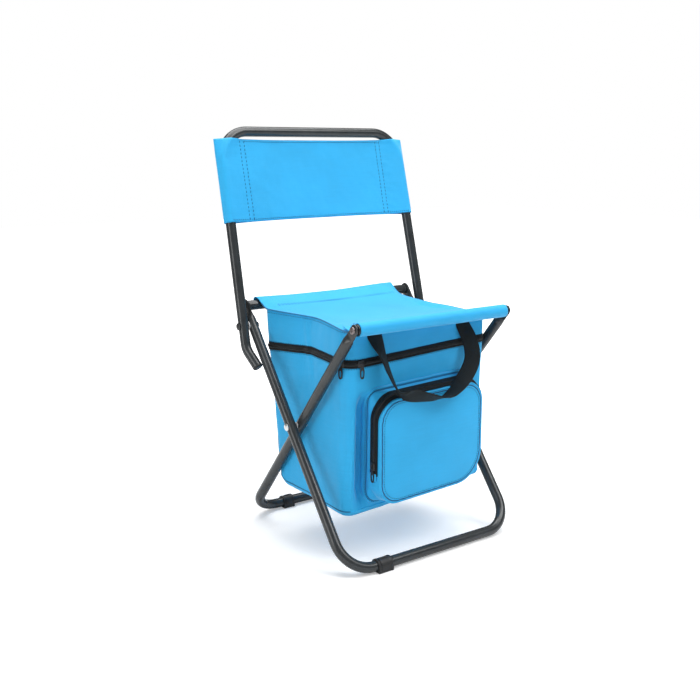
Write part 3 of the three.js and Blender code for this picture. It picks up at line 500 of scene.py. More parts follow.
def coated(name, colour, grain, rough, depth=0.05 * MM):
    """Powder coat or moulded grain: fine orange peel, and wear that changes roughness and tone slightly."""
    nodes = Nodes(name)
    place = nodes.place()
    peel = nodes.noise(place, grain)
    wear = nodes.noise(place, 38.0, 5.0, 0.62)
    base = nodes.ramp(wear, shaded(colour, 0.78), shaded(colour, 1.3), 0.32, 0.72)
    return nodes.finish(
        Base_Color=base, Normal=nodes.bump(peel, depth, 0.6), Roughness=nodes.between(wear, *rough),
        Specular_IOR_Level=0.5)


def plated(name, colour, rough=(0.22, 0.42)):
    """Zinc-plated steel with fine scratches and cloudy patches."""
    nodes = Nodes(name)
    place = nodes.place()
    cloud = nodes.noise(place, 300.0, 4.0)
    scratch = nodes.noise(place, 900.0, stretch=(1, 9, 1))
    base = nodes.ramp(cloud, shaded(colour, 0.85), shaded(colour, 1.1))
    return nodes.finish(
        Base_Color=base, Metallic=1.0, Roughness=nodes.between(cloud, *rough),
        Normal=nodes.bump(scratch, 0.02 * MM, 0.5))


def foil(name):
    """Foil on foam: bright, with crumples whose hollows carry painted shade and whose crests carry painted
    highlight.
    """
    nodes = Nodes(name)
    crumple = nodes.noise(nodes.place(), 120.0, 5.0, 0.65)
    # Colour by crumple height: painted shade in the hollows, painted highlight on the crests.
    base = nodes.ramp(crumple, (0.55, 0.58, 0.61), (0.78, 0.8, 0.83))
    return nodes.finish(
        Base_Color=base, Metallic=0.9, Roughness=nodes.between(crumple, 0.2, 0.4),
        Normal=nodes.bump(crumple, 0.8 * MM, 0.7))


# Finishes, each a slot and its material
TUBE_COAT = "tube", coated("satin_powder_coat", (0.029, 0.033, 0.035), 1100.0, (0.19, 0.29))
PAINTED = "bright_steel", coated("painted_rivet", (0.026, 0.028, 0.029), 700.0, (0.34, 0.5))
ZINC = "bright_steel", plated("bright_zinc", (0.80, 0.79, 0.78))
DULL_ZINC = "bright_steel", plated("dull_zinc", (0.28, 0.235, 0.23), (0.34, 0.48))
NYLON = "white_nylon", coated("white_nylon", (0.80, 0.80, 0.78), 600.0, (0.4, 0.55), 0.03 * MM)
PLASTIC = "black_plastic", coated("moulded_black", (0.016, 0.017, 0.018), 800.0, (0.42, 0.6), 0.06 * MM)
CLOTH = "blue_cloth", oxford("blue_oxford", (0.022, 0.41, 0.78))
# Darker blue piping: partly its own colour, partly painted shade; also the dark bead of painted shade at the
# foot of the pocket's gusset.
PIPING_AND_SHADE = "blue_cloth", oxford("blue_piping_and_painted_shade", (0.007, 0.17, 0.36), 0.5 * MM, 0.1 * MM, 0.06)
# Dark blue thread: partly its own colour, partly painted shade of the needle holes; also the dark bead of
# painted shade at the pocket's fold.
THREAD_AND_SHADE = "blue_cloth", oxford("blue_thread_and_painted_shade", (0.003, 0.055, 0.17), 0.3 * MM, 0.05 * MM, 0.05)
STRAP_WEB = "black_webbing", webbing("black_webbing", (0.005, 0.0085, 0.010))
ZIP_WEB = "black_webbing", webbing("black_zip_tape", (0.004, 0.0065, 0.008), 0.7 * MM)
COIL = "black_webbing", coated("zip_coil", (0.007, 0.009, 0.010), 1500.0, (0.3, 0.45), 0.03 * MM)
FOIL = "foil_liner", foil("foil_on_foam")
BOARD = "board", coated("plain_board", (0.30, 0.28, 0.25), 200.0, (0.6, 0.8), 0.1 * MM)

# Leg frames and rails

REAR_TAB = 10 * MM
FRONT_TAB = 7.8 * MM
TAB_T = 5 * MM
TAB_RUN = 12 * MM
TAB_TAPER = 12 * MM
RAIL_END = 2.8 * MM


def leg_frame(name, half, rail, bar, body, tab_half):
    """A tube bent to a U with its two tops pressed flat: at d below the screw, smooth((run + taper - d) /
    taper) takes the radius across the frame's plane to the tab's half width and the radius along X to half
    its thickness."""
    up, across = lean_of(bar, rail)
    top = rail + up * tab_half
    line = bent_line([top - half * X, bar - half * X, bar + half * X, top + half * X], [BEND_R, BEND_R])
    run = run_of(line)
    length = run[-1]
    tip = tab_half * (1 - np.cos(np.linspace(0.12, np.pi / 2, 14)))
    near = np.concatenate([tip, tab_half + np.linspace(1, 30, 24) * MM])
    at = np.concatenate([near, np.linspace(near[-1], length - near[-1], 170)[1:-1], length - near[::-1]])
    below = np.minimum(at, length - at) - tab_half
    flat = smooth((TAB_RUN + TAB_TAPER - below) / TAB_TAPER)
    rounding = np.sqrt(1 - (np.clip(-below, 0, tab_half) / tab_half) ** 2 * 0.995)
    wide = (TUBE_R + (tab_half - TUBE_R) * flat) * rounding
    thick = (TUBE_R + (TAB_T / 2 - TUBE_R) * flat) * (1 - 0.35 * smooth(-below / tab_half))
    shell = tube(sampled(run, at, line), across, wide, thick)
    make(name + "_tube", [shell], TUBE_COAT, body, name + "_frame")


def seat_rail(name, rail, half, body):
    """A straight tube inside a sleeve of the seat."""
    reach = (half - RAIL_END) * X
    make(name + "_bar", [round_bar(rail - reach, rail + reach, TUBE_R, Z)], TUBE_COAT, body, name)


leg_frame("outer_leg", OUTER_X, REAR_RAIL, FRONT_BAR, "outer_frame", REAR_TAB)
leg_frame("inner_leg", INNER_X, FRONT_RAIL, REAR_BAR, "inner_frame", FRONT_TAB)
seat_rail("rear_seat_rail", REAR_RAIL, OUTER_X, "outer_frame")
seat_rail("front_seat_rail", FRONT_RAIL, INNER_X, "inner_frame")

# Back frame

BACK_LEAN = math.radians(13.8)
BACK_UP = np.array([0, math.sin(BACK_LEAN), math.cos(BACK_LEAN)])
BACK_OUT = np.cross(X, BACK_UP)
BACK_LENGTH = 287.6 * MM
BACK_DRAW = 6.3 * MM
TAIL_STRAIGHT = 34 * MM
TAIL_BEND_R = 30 * MM
TAIL_DROP = 62.7 * MM
TAIL_IN = 6 * MM
TAIL_SIDE = 11.17 * MM
TAIL_CAP = np.array([
    (-2, 5.8), (0.3, 5.8), (0.3, 7.3), (0.9, 7.4), (1.6, 6.9), (2.1, 5.6), (2.3, 3.0), (2.35, 0.6)]) * MM
LEG_UP, LEG_OUT = lean_of(FRONT_BAR, REAR_RAIL)


def on_back(x, out, up):
    """A point of the back rest from its place across, forward of its plane and up from its pivot."""
    return BACK_PIVOT + x * X + out * BACK_OUT + up * BACK_UP


def back_corners(sign):
    """Corners of one side of the back tube: the tail's end, the bend above it and the top."""
    tail = BACK_PIVOT + sign * (BACK_X - TAIL_IN) * X - TAIL_SIDE * LEG_OUT - TAIL_DROP * LEG_UP
    top = on_back(sign * (BACK_X - BACK_DRAW), 0, BACK_LENGTH)
    return [tail, on_back(sign * BACK_X, 0, -TAIL_STRAIGHT), top]


def back_frame():
    """A tube bent to a U, its lower ends bent in under the legs, with a turned cap in each end."""
    corners = back_corners(-1) + back_corners(1)[::-1]
    line = spaced(bent_line(corners, [TAIL_BEND_R, BEND_R, BEND_R, TAIL_BEND_R]), 260)
    shell = tube(line, BACK_OUT + 0.4 * BACK_UP, TUBE_R, TUBE_R)
    make("back_tube", [shell], TUBE_COAT, "back_rest", "back_frame_tube")
    for sign, side in SIDES:
        tip, bend, _ = back_corners(sign)
        way = unit(tip - bend)
        plug = turned(TAIL_CAP, tip, way, unit(np.cross(way, Z)))
        make("tail_cap_" + side, [plug], PLASTIC, "back_rest", "back_tube_plug_" + side)


back_frame()

# Rivets, washers and screws

RIVET_R = 5.5 * MM
RIVET_H = 2.2 * MM
RIVET_TAIL_R = 2.9 * MM
SCREW_R = 4.9 * MM
SCREW_H = 2.6 * MM
SHANK_R = 2 * MM
SHANK_L = 12 * MM
RING_BORE_R = 3.3 * MM
LEG_RING_R = 4.8 * MM
BACK_RING_R = 6.2 * MM


def dome(radius, height, foot):
    """Profile of a rivet: a straight tail below, a short upright rim, then a cap whose height goes as
    0.25 + 0.75 sqrt(1 - share^2) over share of the radius."""
    share = np.linspace(1, 0.03, 12)
    cap = np.stack([height * (0.25 + 0.75 * np.sqrt(1 - share**2)), radius * share], 1)
    tail = [(-foot, 0.1 * MM), (-foot, RIVET_TAIL_R), (0, RIVET_TAIL_R), (0, radius * 0.98)]
    return np.concatenate([tail, cap])


def screw_head(centre, axis):
    """A pan head with a cross recess: over radius and angle, a dome's height less a cross-shaped dip."""
    def arm(p, q):
        """One arm of the cross, eased off across it by p and along it by q."""
        return smooth((0.17 - np.abs(p)) / 0.07) * smooth((0.62 - np.abs(q)) / 0.12)

    share = np.concatenate([[1.0, 1.0, 1.0], np.linspace(0.97, 0.04, 20)])[:, None]
    a, b = (share * v for v in circle(48))
    rise = np.concatenate([[[0.0], [0.3], [0.62]], 0.62 + 0.38 * np.sqrt(1 - share[3:] ** 2)])
    rise = SCREW_H * (rise - 0.45 * np.maximum(arm(a, b), arm(b, a)))
    grid = centre + rise[..., None] * axis + SCREW_R * (a[..., None] * np.cross(axis, Z) + b[..., None] * Z)
    return grid_faces(grid, ring=True, caps=True)


def washer(centre, axis, outer):
    """A flat ring with bevelled edges."""
    h = WASHER_T / 2
    rim = [(-h, outer * 0.95), (-h * 0.5, outer), (h * 0.5, outer), (h, outer * 0.95)]
    return turned([(-h, RING_BORE_R), *rim, (h, RING_BORE_R)], centre, axis, Z, 44, loop=True)


def fasteners():
    """A rivet and a washer at each pivot, and a screw at each rail end."""
    pivots = (
        ("leg_pivot", LEG_PIVOT, OUTER_X, INNER_X, LEG_WASHER_X, LEG_RING_R, ZINC),
        ("back_pivot", BACK_PIVOT, BACK_X, OUTER_X, BACK_WASHER_X, BACK_RING_R, PAINTED))
    rails = (("rear", REAR_RAIL, OUTER_X, "outer_frame"), ("front", FRONT_RAIL, INNER_X, "inner_frame"))
    for sign, side in SIDES:
        out = sign * X
        for name, pivot, outer, inner, ring_x, ring_r, finish in pivots:
            face, tail = outer + TUBE_R, inner - TUBE_R
            heads = [
                turned(dome(RIVET_R, RIVET_H, (face - tail) * 0.9), pivot + face * out, out, Z),
                turned(dome(RIVET_R * 0.8, RIVET_H * 0.5, 1 * MM), pivot + tail * out, -out, Z)]
            make(f"{name}_pin_{side}", heads, finish, "outer_frame", f"{name}_rivet_{side}")
            ring = washer(pivot + ring_x * out, out, ring_r)
            make(f"{name}_ring_{side}", [ring], NYLON, "outer_frame", f"{name}_washer_{side}")
        for end, rail, half, body in rails:
            seat = rail + (half + TAB_T / 2) * out
            shank = round_bar(rail + (half - SHANK_L) * out, seat + 0.2 * MM * out, SHANK_R, Z, 0.3 * MM)
            shells = [screw_head(seat, out), shank]
            make(f"{end}_rail_bolt_{side}", shells, DULL_ZINC, body, f"{end}_rail_screw_{side}")


fasteners()

# Foot clips

CLIP_WALL = 2.4 * MM
CLIP_PLAY = 0.1 * MM
CLIP_LIP_R = 1.6 * MM
CLIP_TABLE_L = 25
CLIP_TABLE = np.array([
    (-12.5, 0.0), (-12.5, 0.75), (-12.1, 0.98), (-9.6, 1.0), (-9.2, 0.9), (-8.9, 0.62), (-8.3, 0.55),
    (-7.9, 0.8), (-7.0, 0.86), (0.0, 0.86), (7.0, 0.86), (8.2, 0.88), (8.8, 1.02), (10.9, 1.04), (11.6, 0.95),
    (12.2, 0.85), (12.5, 0.6), (12.5, 0.0)])


def foot_clip(end, body, length):
    """A moulded clip round a floor bar: an outline, round over the bar and square at the floor, carried along
    X. Its wall, given in shares by a table, grows into a collar at one end and a rib at the other; its bore
    closes the loop."""
    node = end + "_foot_clip"
    x, bar_y = middle(node)[:2]
    cos, sin = circle(72)
    reach, bore = TUBE_R + CLIP_WALL, TUBE_R + CLIP_PLAY
    square_r = BAR_Z / np.maximum(np.abs(cos) * BAR_Z / reach, np.maximum(-sin, 1e-6))
    outer = np.where(sin < 0, np.minimum(square_r, np.hypot(reach, BAR_Z) * 0.985), reach)
    at, share = CLIP_TABLE[:, :1], CLIP_TABLE[:, 1:]
    bottom = smooth(-sin * 1.6)
    share = np.where(share > 0.5, share * (1 - bottom) + bottom * np.maximum(share, 0.97), share)
    radius = bore + (outer - bore) * share
    along = np.broadcast_to(x + at / CLIP_TABLE_L * length, radius.shape)
    grid = np.stack([along, bar_y + radius * cos, np.maximum(BAR_Z + radius * sin, 0)], -1)
    lip_at, lip_half = np.array([x, bar_y, BAR_Z + reach - 0.6 * MM]), length / 4 * X
    lip = round_bar(lip_at - lip_half, lip_at + lip_half, CLIP_LIP_R, Y, CLIP_LIP_R / 2)
    make(end + "_floor_clip", [grid_faces(grid, ring=True, loop=True), lip], PLASTIC, body, node, sharp=35)


foot_clip("front", "outer_frame", 25 * MM)
foot_clip("rear", "inner_frame", 19 * MM)

# Creases

def creases(a, b, size, seed, waves=7):
    """Soft unevenness from -1 to 1: the mean of several waves of seeded direction, length and phase, each
    bent by another."""
    draw = np.random.default_rng(seed)
    total = 0
    for _ in range(waves):
        heading, phase, bend = draw.uniform(0, TURN, 3)
        length = size * draw.uniform(0.6, 1.7)
        along = a * math.cos(heading) + b * math.sin(heading)
        cross = b * math.cos(heading) - a * math.sin(heading)
        sway = 1.2 * np.sin(TURN * cross / (2.3 * length) + bend)
        total = total + np.sin(TURN * along / length + phase + sway)
    return total / waves


# Seat

SLEEVE_R = TUBE_R + 1.1 * MM
FRONT_RUN = 42 * MM
REAR_RUN = 33 * MM
SEAT_HALF = 130.2 * MM
SEAT_WAIST = 21 * MM
SEAT_DIP = 17 * MM
SEAT_BELLY = 1.6 * MM
SEAT_MID_Y = (FRONT_RAIL[1] + REAR_RAIL[1]) / 2
SEAT_REACH = (REAR_RAIL[1] - FRONT_RAIL[1]) / 2
SEAT_KINK = 0.06
HEM_RUN = 30 * MM
HEM_SHARE = 0.13
HEM_Z = REAR_RAIL[2] - 3.6 * MM
HEM_DROP = 4.6 * MM
HEM_DROP_START = SEAT_MID_Y - 10 * MM
HEM_DROP_RUN = 90 * MM
FLAP_IN = 18 * MM
REAR_CUT = 3 * MM
SLIDE = 7 * MM
REAR_RISE = np.array([(-130, 3.0), (-60, 1.2), (20, 1.2), (110, 4.6)]) * MM
REAR_RISE_RUN = 60 * MM
UNDER = np.array([0, 1.4 * MM])
SEAT_CREASE = 0.5 * MM
SEAT_RIPPLE_L = 34 * MM
SLEEVE_CREASE = 0.35 * MM
SEAM_STEP = 3.4 * MM
SEAM_END = 15 * MM
EDGE_START = 14 * MM
EDGE_R = 1 * MM
LINING_GAP, LINING_OUT, LINING_END = 0.1 * MM, 0.5 * MM, 1.5 * MM


def drawn_in(share, kink=SEAT_KINK):
    """How far a soft edge is drawn in, from 0 at its ends to 1 at a rounded kink in its middle: one less a
    hyperbola of the share, sqrt(share^2 + kink^2) - kink, over its value at a share of 1."""
    return 1 - (np.sqrt(np.clip(np.abs(share), 0, 1) ** 2 + kink**2) - kink) / (math.sqrt(1 + kink**2) - kink)


def seat_share(y):
    """Place between the rails, from -1 at the front to 1 at the rear."""
    return (y - SEAT_MID_Y) / SEAT_REACH


def sling_z(y):
    """Height of the sling, a parabola that hangs from rail to rail."""
    return REAR_RAIL[2] + SLEEVE_R - SEAT_DIP * (1 - seat_share(y) ** 2)


def seat_half(y):
    """Half the seat's width: drawn in to a kink in its middle, and cut a little short at the rear rail."""
    share = seat_share(y)
    return SEAT_HALF - SEAT_WAIST * drawn_in(share) - REAR_CUT * smooth((share - 0.7) / 0.3)


def hem_z(y):
    """Height of the seat's side hem, which runs nearly straight from rail to rail and hangs lower at the
    front."""
    return HEM_Z - HEM_DROP * smooth((HEM_DROP_START - y) / HEM_DROP_RUN)


def hem_at(share):
    """How far a place across the seat belongs to its side hem, eased over the hem's share of the half."""
    return smooth((np.abs(share) - 1 + HEM_SHARE) / HEM_SHARE)


def rear_rise(x, y, z):
    """How far the slack sleeve stands off the rear rail: straight between a few places across X, eased in
    along Y and up the sleeve."""
    near = smooth((y - REAR_RAIL[1] + REAR_RISE_RUN) / REAR_RISE_RUN)
    return near * smooth((z - REAR_RAIL[2] + SLEEVE_R) / (2 * SLEEVE_R)) * np.interp(x, *REAR_RISE.T)


def slid(y, most=SLIDE):
    """How far the cloth has slid to the left, in proportion to Y from the front rail to the rear one."""
    return -most * np.clip((y - FRONT_RAIL[1]) / (2 * SEAT_REACH), 0, 1)


def sleeve_arc(rail, stitch):
    """Points round the far side of a rail from one tangent of its stitch to the other, in Y and Z."""
    reach = stitch - rail[1:]
    middle_angle = math.atan2(reach[1], reach[0])
    spread = math.acos(SLEEVE_R / np.linalg.norm(reach))
    angle = np.linspace(middle_angle - spread, middle_angle + spread - TURN, 40)
    return rail[1:] + SLEEVE_R * np.stack([np.cos(angle), np.sin(angle)], 1)


FRONT_STITCH, REAR_STITCH = (
    np.array([y, sling_z(y)]) for y in (FRONT_RAIL[1] + FRONT_RUN, REAR_RAIL[1] - REAR_RUN))
FRONT_ARC = sleeve_arc(FRONT_RAIL, FRONT_STITCH)
REAR_ARC = sleeve_arc(REAR_RAIL, REAR_STITCH)


def sling_between(count):
    """Points of the sling between its two stitch lines, in Y and Z."""
    y = np.linspace(FRONT_STITCH[0], REAR_STITCH[0], count)
    return np.stack([y, sling_z(y)], 1)


def under_seat(y):
    """Height of the seat's underside over a given Y."""
    low_front, low_rear = (arc[np.argmin(arc[:, 1])] for arc in (FRONT_ARC, REAR_ARC))
    return np.interp(y, *np.concatenate([[low_front], sling_between(40) - UNDER, [low_rear]]).T)


def seat_panel():
    """Sling cloth. Its section goes up round the front rail from an under stitch, over the sling and down
    round the rear rail. The section's points are spread across X to the drawn-in half width, with a slight
    belly, side hems and creases that run from the waist towards the rails."""
    profile = np.concatenate([
        [FRONT_STITCH - UNDER], FRONT_ARC, sling_between(60), REAR_ARC, [REAR_STITCH - UNDER]])
    section = spaced(profile, 210)
    across = np.linspace(-1, 1, 71)
    across = np.sign(across) * (1 - (1 - np.abs(across)) ** 1.25)
    y, z = section[:, :1], section[:, 1:]
    upper = smooth((z - (sling_z(y) - 1 * MM)) / (1 * MM))
    top = upper * smooth((SEAT_REACH - np.abs(y - SEAT_MID_Y)) / HEM_RUN)
    below = (1 - upper) * smooth((REAR_RAIL[2] + 0.6 * SLEEVE_R - z) / (1.4 * SLEEVE_R)) * (y > SEAT_MID_Y)
    x = (seat_half(y) - FLAP_IN * below) * across
    pull = bell(1 - np.abs(across), 0.16) * drawn_in(seat_share(y))
    ripple = np.sin(TURN * (x * 0.45 + (y - SEAT_MID_Y) * np.sign(across)) / SEAT_RIPPLE_L) * pull
    lift = top * (SEAT_CREASE * (creases(x, y, 90 * MM, 3) + ripple) - SEAT_BELLY * (1 - across**2))
    hem = hem_at(across)
    lift = lift * (1 - hem) + hem * top * (hem_z(y) - z)
    away = np.sign(y - SEAT_MID_Y) * (1 - top) * SLEEVE_CREASE * creases(x, y + z, 26 * MM, 4)
    grid = np.stack([x + slid(y), y + away, z + lift + rear_rise(x, y, z)], -1)
    piece = cloth_piece("seat_sling", [grid], CLOTH, "outer_frame", "seat_panel", fold=SOFT)
    return grid


SEAT_GRID = seat_panel()


def seat_seams():
    """Two rows of stitches beside each sleeve, and piping along the seat's side edges."""
    rows = []
    for stitch, toward in ((FRONT_STITCH, -1), (REAR_STITCH, 1)):
        for step in (0, SEAM_STEP):
            y = stitch[0] + toward * step
            x = np.linspace(-1, 1, 60) * (seat_half(y) - SEAM_END)
            share = x / seat_half(y)
            z = sling_z(y) + CLOTH_T / 2 - SEAT_BELLY * (1 - share**2)
            z = z + hem_at(share) * (hem_z(y) + CLOTH_T / 2 - z) + rear_rise(x, y, sling_z(y))
            rows.append(seam(np.stack([x + slid(y), np.full(60, y), z], 1), Z))
    make("seat_stitching", rows, THREAD_AND_SHADE, "outer_frame", fold=SOFT)
    half, centre = (count // 2 for count in SEAT_GRID.shape[:2])
    height = SEAT_GRID[:, centre, 2]
    top = SEAT_GRID[np.argmax(height[:half]) : half + np.argmax(height[half:]) + 1]
    y = top[:, 0, 1]
    top = top[(y > FRONT_RAIL[1] + EDGE_START) & (y < REAR_RAIL[1] - EDGE_START)]
    # The edge piping's darker blue is partly its own colour, partly painted shade along the seat's edges.
    edges = [bead(spaced(top[:, column], 90), Z, EDGE_R) for column in (0, -1)]
    make("seat_edge_piping", edges, PIPING_AND_SHADE, "outer_frame", fold=SOFT)


def sleeve_lining(name, rail, half, body):
    """A cloth tube close round a rail, which keeps the rail covered when the seat has flattened."""
    inner, outer = TUBE_R + LINING_GAP, TUBE_R + LINING_OUT
    h = half - LINING_END
    profile = [(-h, inner), (-h, outer), (h, outer), (h, inner)]
    ring = turned(profile, rail + slid(rail[1]) * X, X, Z, TUBE_SIDES, loop=True)
    make(name, [ring], CLOTH, body)


seat_seams()
sleeve_lining("front_sleeve_lining", FRONT_RAIL, SEAT_HALF, "inner_frame")
sleeve_lining("rear_sleeve_lining", REAR_RAIL, SEAT_HALF - FLAP_IN, "outer_frame")

# Back panel

PANEL_H = 125 * MM
PANEL_TOP = BACK_LENGTH - TUBE_R - 4 * MM
PANEL_FOOT = PANEL_TOP - PANEL_H
PANEL_STITCH = 128.2 * MM
PANEL_EDGE = 174.8 * MM
PANEL_TAPER = 1.6 * MM
PANEL_SLOPE = 0.55
PANEL_EDGE_R = 1.2 * MM
PANEL_SLEEVE_R = TUBE_R + 1.0 * MM
PANEL_WEB = 0.75 * MM
PANEL_POINTS = 260
PANEL_ROWS = 48
PANEL_BELLY = 1.4 * MM
PANEL_BELLY_RUN = 30 * MM
PANEL_CREASE = 0.7 * MM
PANEL_FINE_CREASE = 0.25 * MM
PUCKER = 0.15 * MM
PUCKER_L = 13 * MM
PUCKER_REACH = 16 * MM
TOP_SAG = 1.4 * MM
FOOT_BOW = 1.0 * MM
FOOT_LIFT = 2.1 * MM
FOOT_TILT = 0.0065
HEM_H = 8.75 * MM
HEM_STITCH = 3.4 * MM
FOOT_STITCH_X = PANEL_EDGE - 10 * MM
TOP_STITCH_X = PANEL_STITCH - 4 * MM
SLEEVE_SEAMS = (-128.5 * MM, 123 * MM)
SLEEVE_SEAM_HALF = 4 * MM


def tube_x(up):
    """The back tube's distance from the middle at a height above its pivot: a straight lean, less the arc of
    its bend near the top."""
    over = np.clip(up - (BACK_LENGTH - BEND_R), 0, BEND_R)
    return BACK_X - BACK_DRAW * up / BACK_LENGTH - (BEND_R - np.sqrt(BEND_R**2 - over**2))


def panel_section(up):
    """The panel's section at one height, as (x, out) pairs: the web in front and, at each side, the outline
    of the hull of three circles, round the tube, the sleeve's outer edge and the stitch line."""
    angle = np.linspace(-1, 1, 161) * (np.pi / 2 + PANEL_SLOPE)
    way = np.stack([np.cos(angle), np.sin(angle)], 1)
    edge = max(PANEL_EDGE - PANEL_TAPER * (up - PANEL_FOOT) / PANEL_H, tube_x(up) + PANEL_SLEEVE_R + 0.7 * MM)
    tube_at = min(tube_x(up), edge - PANEL_SLEEVE_R)
    centres = np.array([[tube_at, 0], [edge - PANEL_EDGE_R, 0], [PANEL_STITCH, 0]])
    radii = np.array([PANEL_SLEEVE_R, PANEL_EDGE_R, PANEL_WEB])
    best = np.argmax(way @ centres.T + radii, 1)
    right = centres[best] + radii[best][:, None] * way
    return spaced(np.concatenate([right[::-1] * (-1, 1), right]), PANEL_POINTS)


def panel_level(share, x):
    """Height of a level of the panel: its top edge sags between the sleeves by one less a cube across X, and
    its bottom edge rises by the same bow, a lift and a tilt to the right. Each fades by the cube of the
    share."""
    web = 1 - np.clip(np.abs(x) / PANEL_STITCH, 0, 1) ** 3
    raised = FOOT_BOW * web + FOOT_LIFT + FOOT_TILT * x
    return PANEL_TOP - PANEL_H * (1 - share) - TOP_SAG * web * share**3 + raised * (1 - share) ** 3


def back_panel():
    """Cloth band: sections up the back, with a belly that goes as the sine of the height, and with puckers,
    a slanted wave faded by a bell of the distance from the sleeve seams."""
    share = np.linspace(0, 1, PANEL_ROWS)
    sections = np.stack([panel_section(PANEL_TOP - PANEL_H * (1 - s)) for s in share])
    x, out = sections[..., 0], sections[..., 1]
    up = panel_level(share[:, None], x)
    in_front = out < 0
    web = smooth((PANEL_STITCH - np.abs(x)) / PANEL_BELLY_RUN) * in_front
    slant = up + 0.35 * np.abs(x)
    pucker = PUCKER * np.sin(TURN * slant / PUCKER_L + 2 * creases(x, up, 40 * MM, 11))
    pucker = pucker * bell(np.abs(x) - PANEL_STITCH, PUCKER_REACH)
    belly = PANEL_BELLY * np.sin(np.pi * share[:, None]) + PANEL_CREASE * creases(x, up, 75 * MM, 12)
    out = out + web * belly + pucker * in_front + PANEL_FINE_CREASE * creases(x, up, 24 * MM, 13)
    grid = on_back(x[..., None], -out[..., None], up[..., None])
    piece = cloth_piece("back_cloth", [grid], CLOTH, "back_rest", "back_panel")
    front = np.where(out[PANEL_ROWS // 2] < 0)[0]
    return x[:, front], out[:, front]


PANEL_XS, PANEL_OUTS = back_panel()


def on_panel(x, share, proud):
    """Points on the panel's front face at given places across it and up it."""
    row = np.round(np.clip(share, 0, 1) * (PANEL_ROWS - 1)).astype(int)
    out = np.array([np.interp(v, PANEL_XS[r], PANEL_OUTS[r]) for v, r in zip(x, row)])
    return on_back(x[:, None], -(out - proud)[:, None], panel_level(share, x)[:, None])


def back_seams():
    """Two columns of stitches at each sleeve, a row along each hem, and the hems' second layer of cloth."""
    up = np.linspace(0.015, 0.985, 70)
    columns = [at + step for at in SLEEVE_SEAMS for step in (-SLEEVE_SEAM_HALF, SLEEVE_SEAM_HALF)]
    rows = [seam(on_panel(np.full(70, x), up, CLOTH_T / 2), BACK_OUT) for x in columns]
    low = HEM_STITCH / PANEL_H
    for share, reach in ((low, FOOT_STITCH_X), (1 - low, TOP_STITCH_X)):
        x = np.linspace(-1, 1, 170) * reach
        rows.append(stitches(on_panel(x, np.full(170, share), CLOTH_T / 2), BACK_OUT))
    make("back_stitching", rows, THREAD_AND_SHADE, "back_rest")
    x = np.linspace(-1, 1, 120) * (PANEL_STITCH - 1 * MM)
    levels = (np.linspace(0, HEM_H / PANEL_H, 6), np.linspace(1 - HEM_H / PANEL_H, 1, 6))
    hems = [np.stack([on_panel(x, np.full(120, share), -CLOTH_T) for share in level]) for level in levels]
    cloth_piece("back_hems", hems, CLOTH, "back_rest")


back_seams()

# Bag

BAG_HALF = 121.5 * MM
BAG_HALF_RIGHT = 124.5 * MM
BAG_FRONT_Y = -111.836 * MM
BAG_REAR_Y = 88.164 * MM
BAG_FLOOR_Z = 76.16 * MM
BAG_SKEW = 0.04
BAG_SLIDE = 10 * MM
BAG_EDGE_R = 8 * MM
BAG_EDGE_ROWS = 9
BAG_WAIST = 14 * MM
BAG_KINK = 0.035
BAND_H = 43 * MM
ZIP_Z = 290.16 * MM
ZIP_HALF = 5.7 * MM
ZIP_DIPS = (-1.5 * MM, 1.2 * MM, -4.5 * MM)
FLOOR_FRONT_IN = 5 * MM
FLOOR_REAR_IN = 28 * MM
FLOOR_SIDE_IN = 3 * MM
FLOOR_RIGHT_OUT = 3.5 * MM
TOP_RIGHT_OUT = 3 * MM
LEFT_FRONT_R, RIGHT_FRONT_R, REAR_R = 22 * MM, 9 * MM, 15 * MM
FLANK_PUFF, FRONT_PUFF, REAR_PUFF = 4.5 * MM, 1.5 * MM, 5 * MM
REAR_STEP, REAR_FLARE = 5 * MM, 5 * MM
LEAST_R = 2 * MM
BAG_CREASE, BAG_FINE_CREASE, BAG_TUCK = 1.3 * MM, 0.5 * MM, 1.1 * MM
TUCKS = ((1, 7 * MM, 0.12, 4.5 * MM), (-0.8, 18 * MM, -0.1, 6 * MM))
SWELL_H, SWELL_X, SWELL_W = 3 * MM, -113 * MM, 8 * MM
DENT_H, DENT_X, DENT_W = 17 * MM, -93 * MM, 9 * MM
RELIEF_LOW, RELIEF_TOP, RELIEF_FADE = BAG_FLOOR_Z + 4 * MM, 258 * MM, 40 * MM
CORNER_HANG = 6 * MM
CORNER_REAR_Y, CORNER_RUN = 40 * MM, 140 * MM
HEEL_RUN = 26 * MM
HEEL_LIFT = 10 * MM
FLOOR_SAG = 3 * MM
BAND_OVERLAP = 0.6 * MM
BAND_BOW = 1.2 * MM
PIPING_R = 1.3 * MM
FRONT_PIPING_R = 1.5 * MM
LINER_SHARE = 0.97
LINER_T = 1.6 * MM
LINER_IN = 5 * MM
LINER_MARGIN = 12 * MM
BOARD_IN = 10 * MM
BOARD_Z = BAG_FLOOR_Z + 6 * MM
BOARD_HALF_T = 1.3 * MM


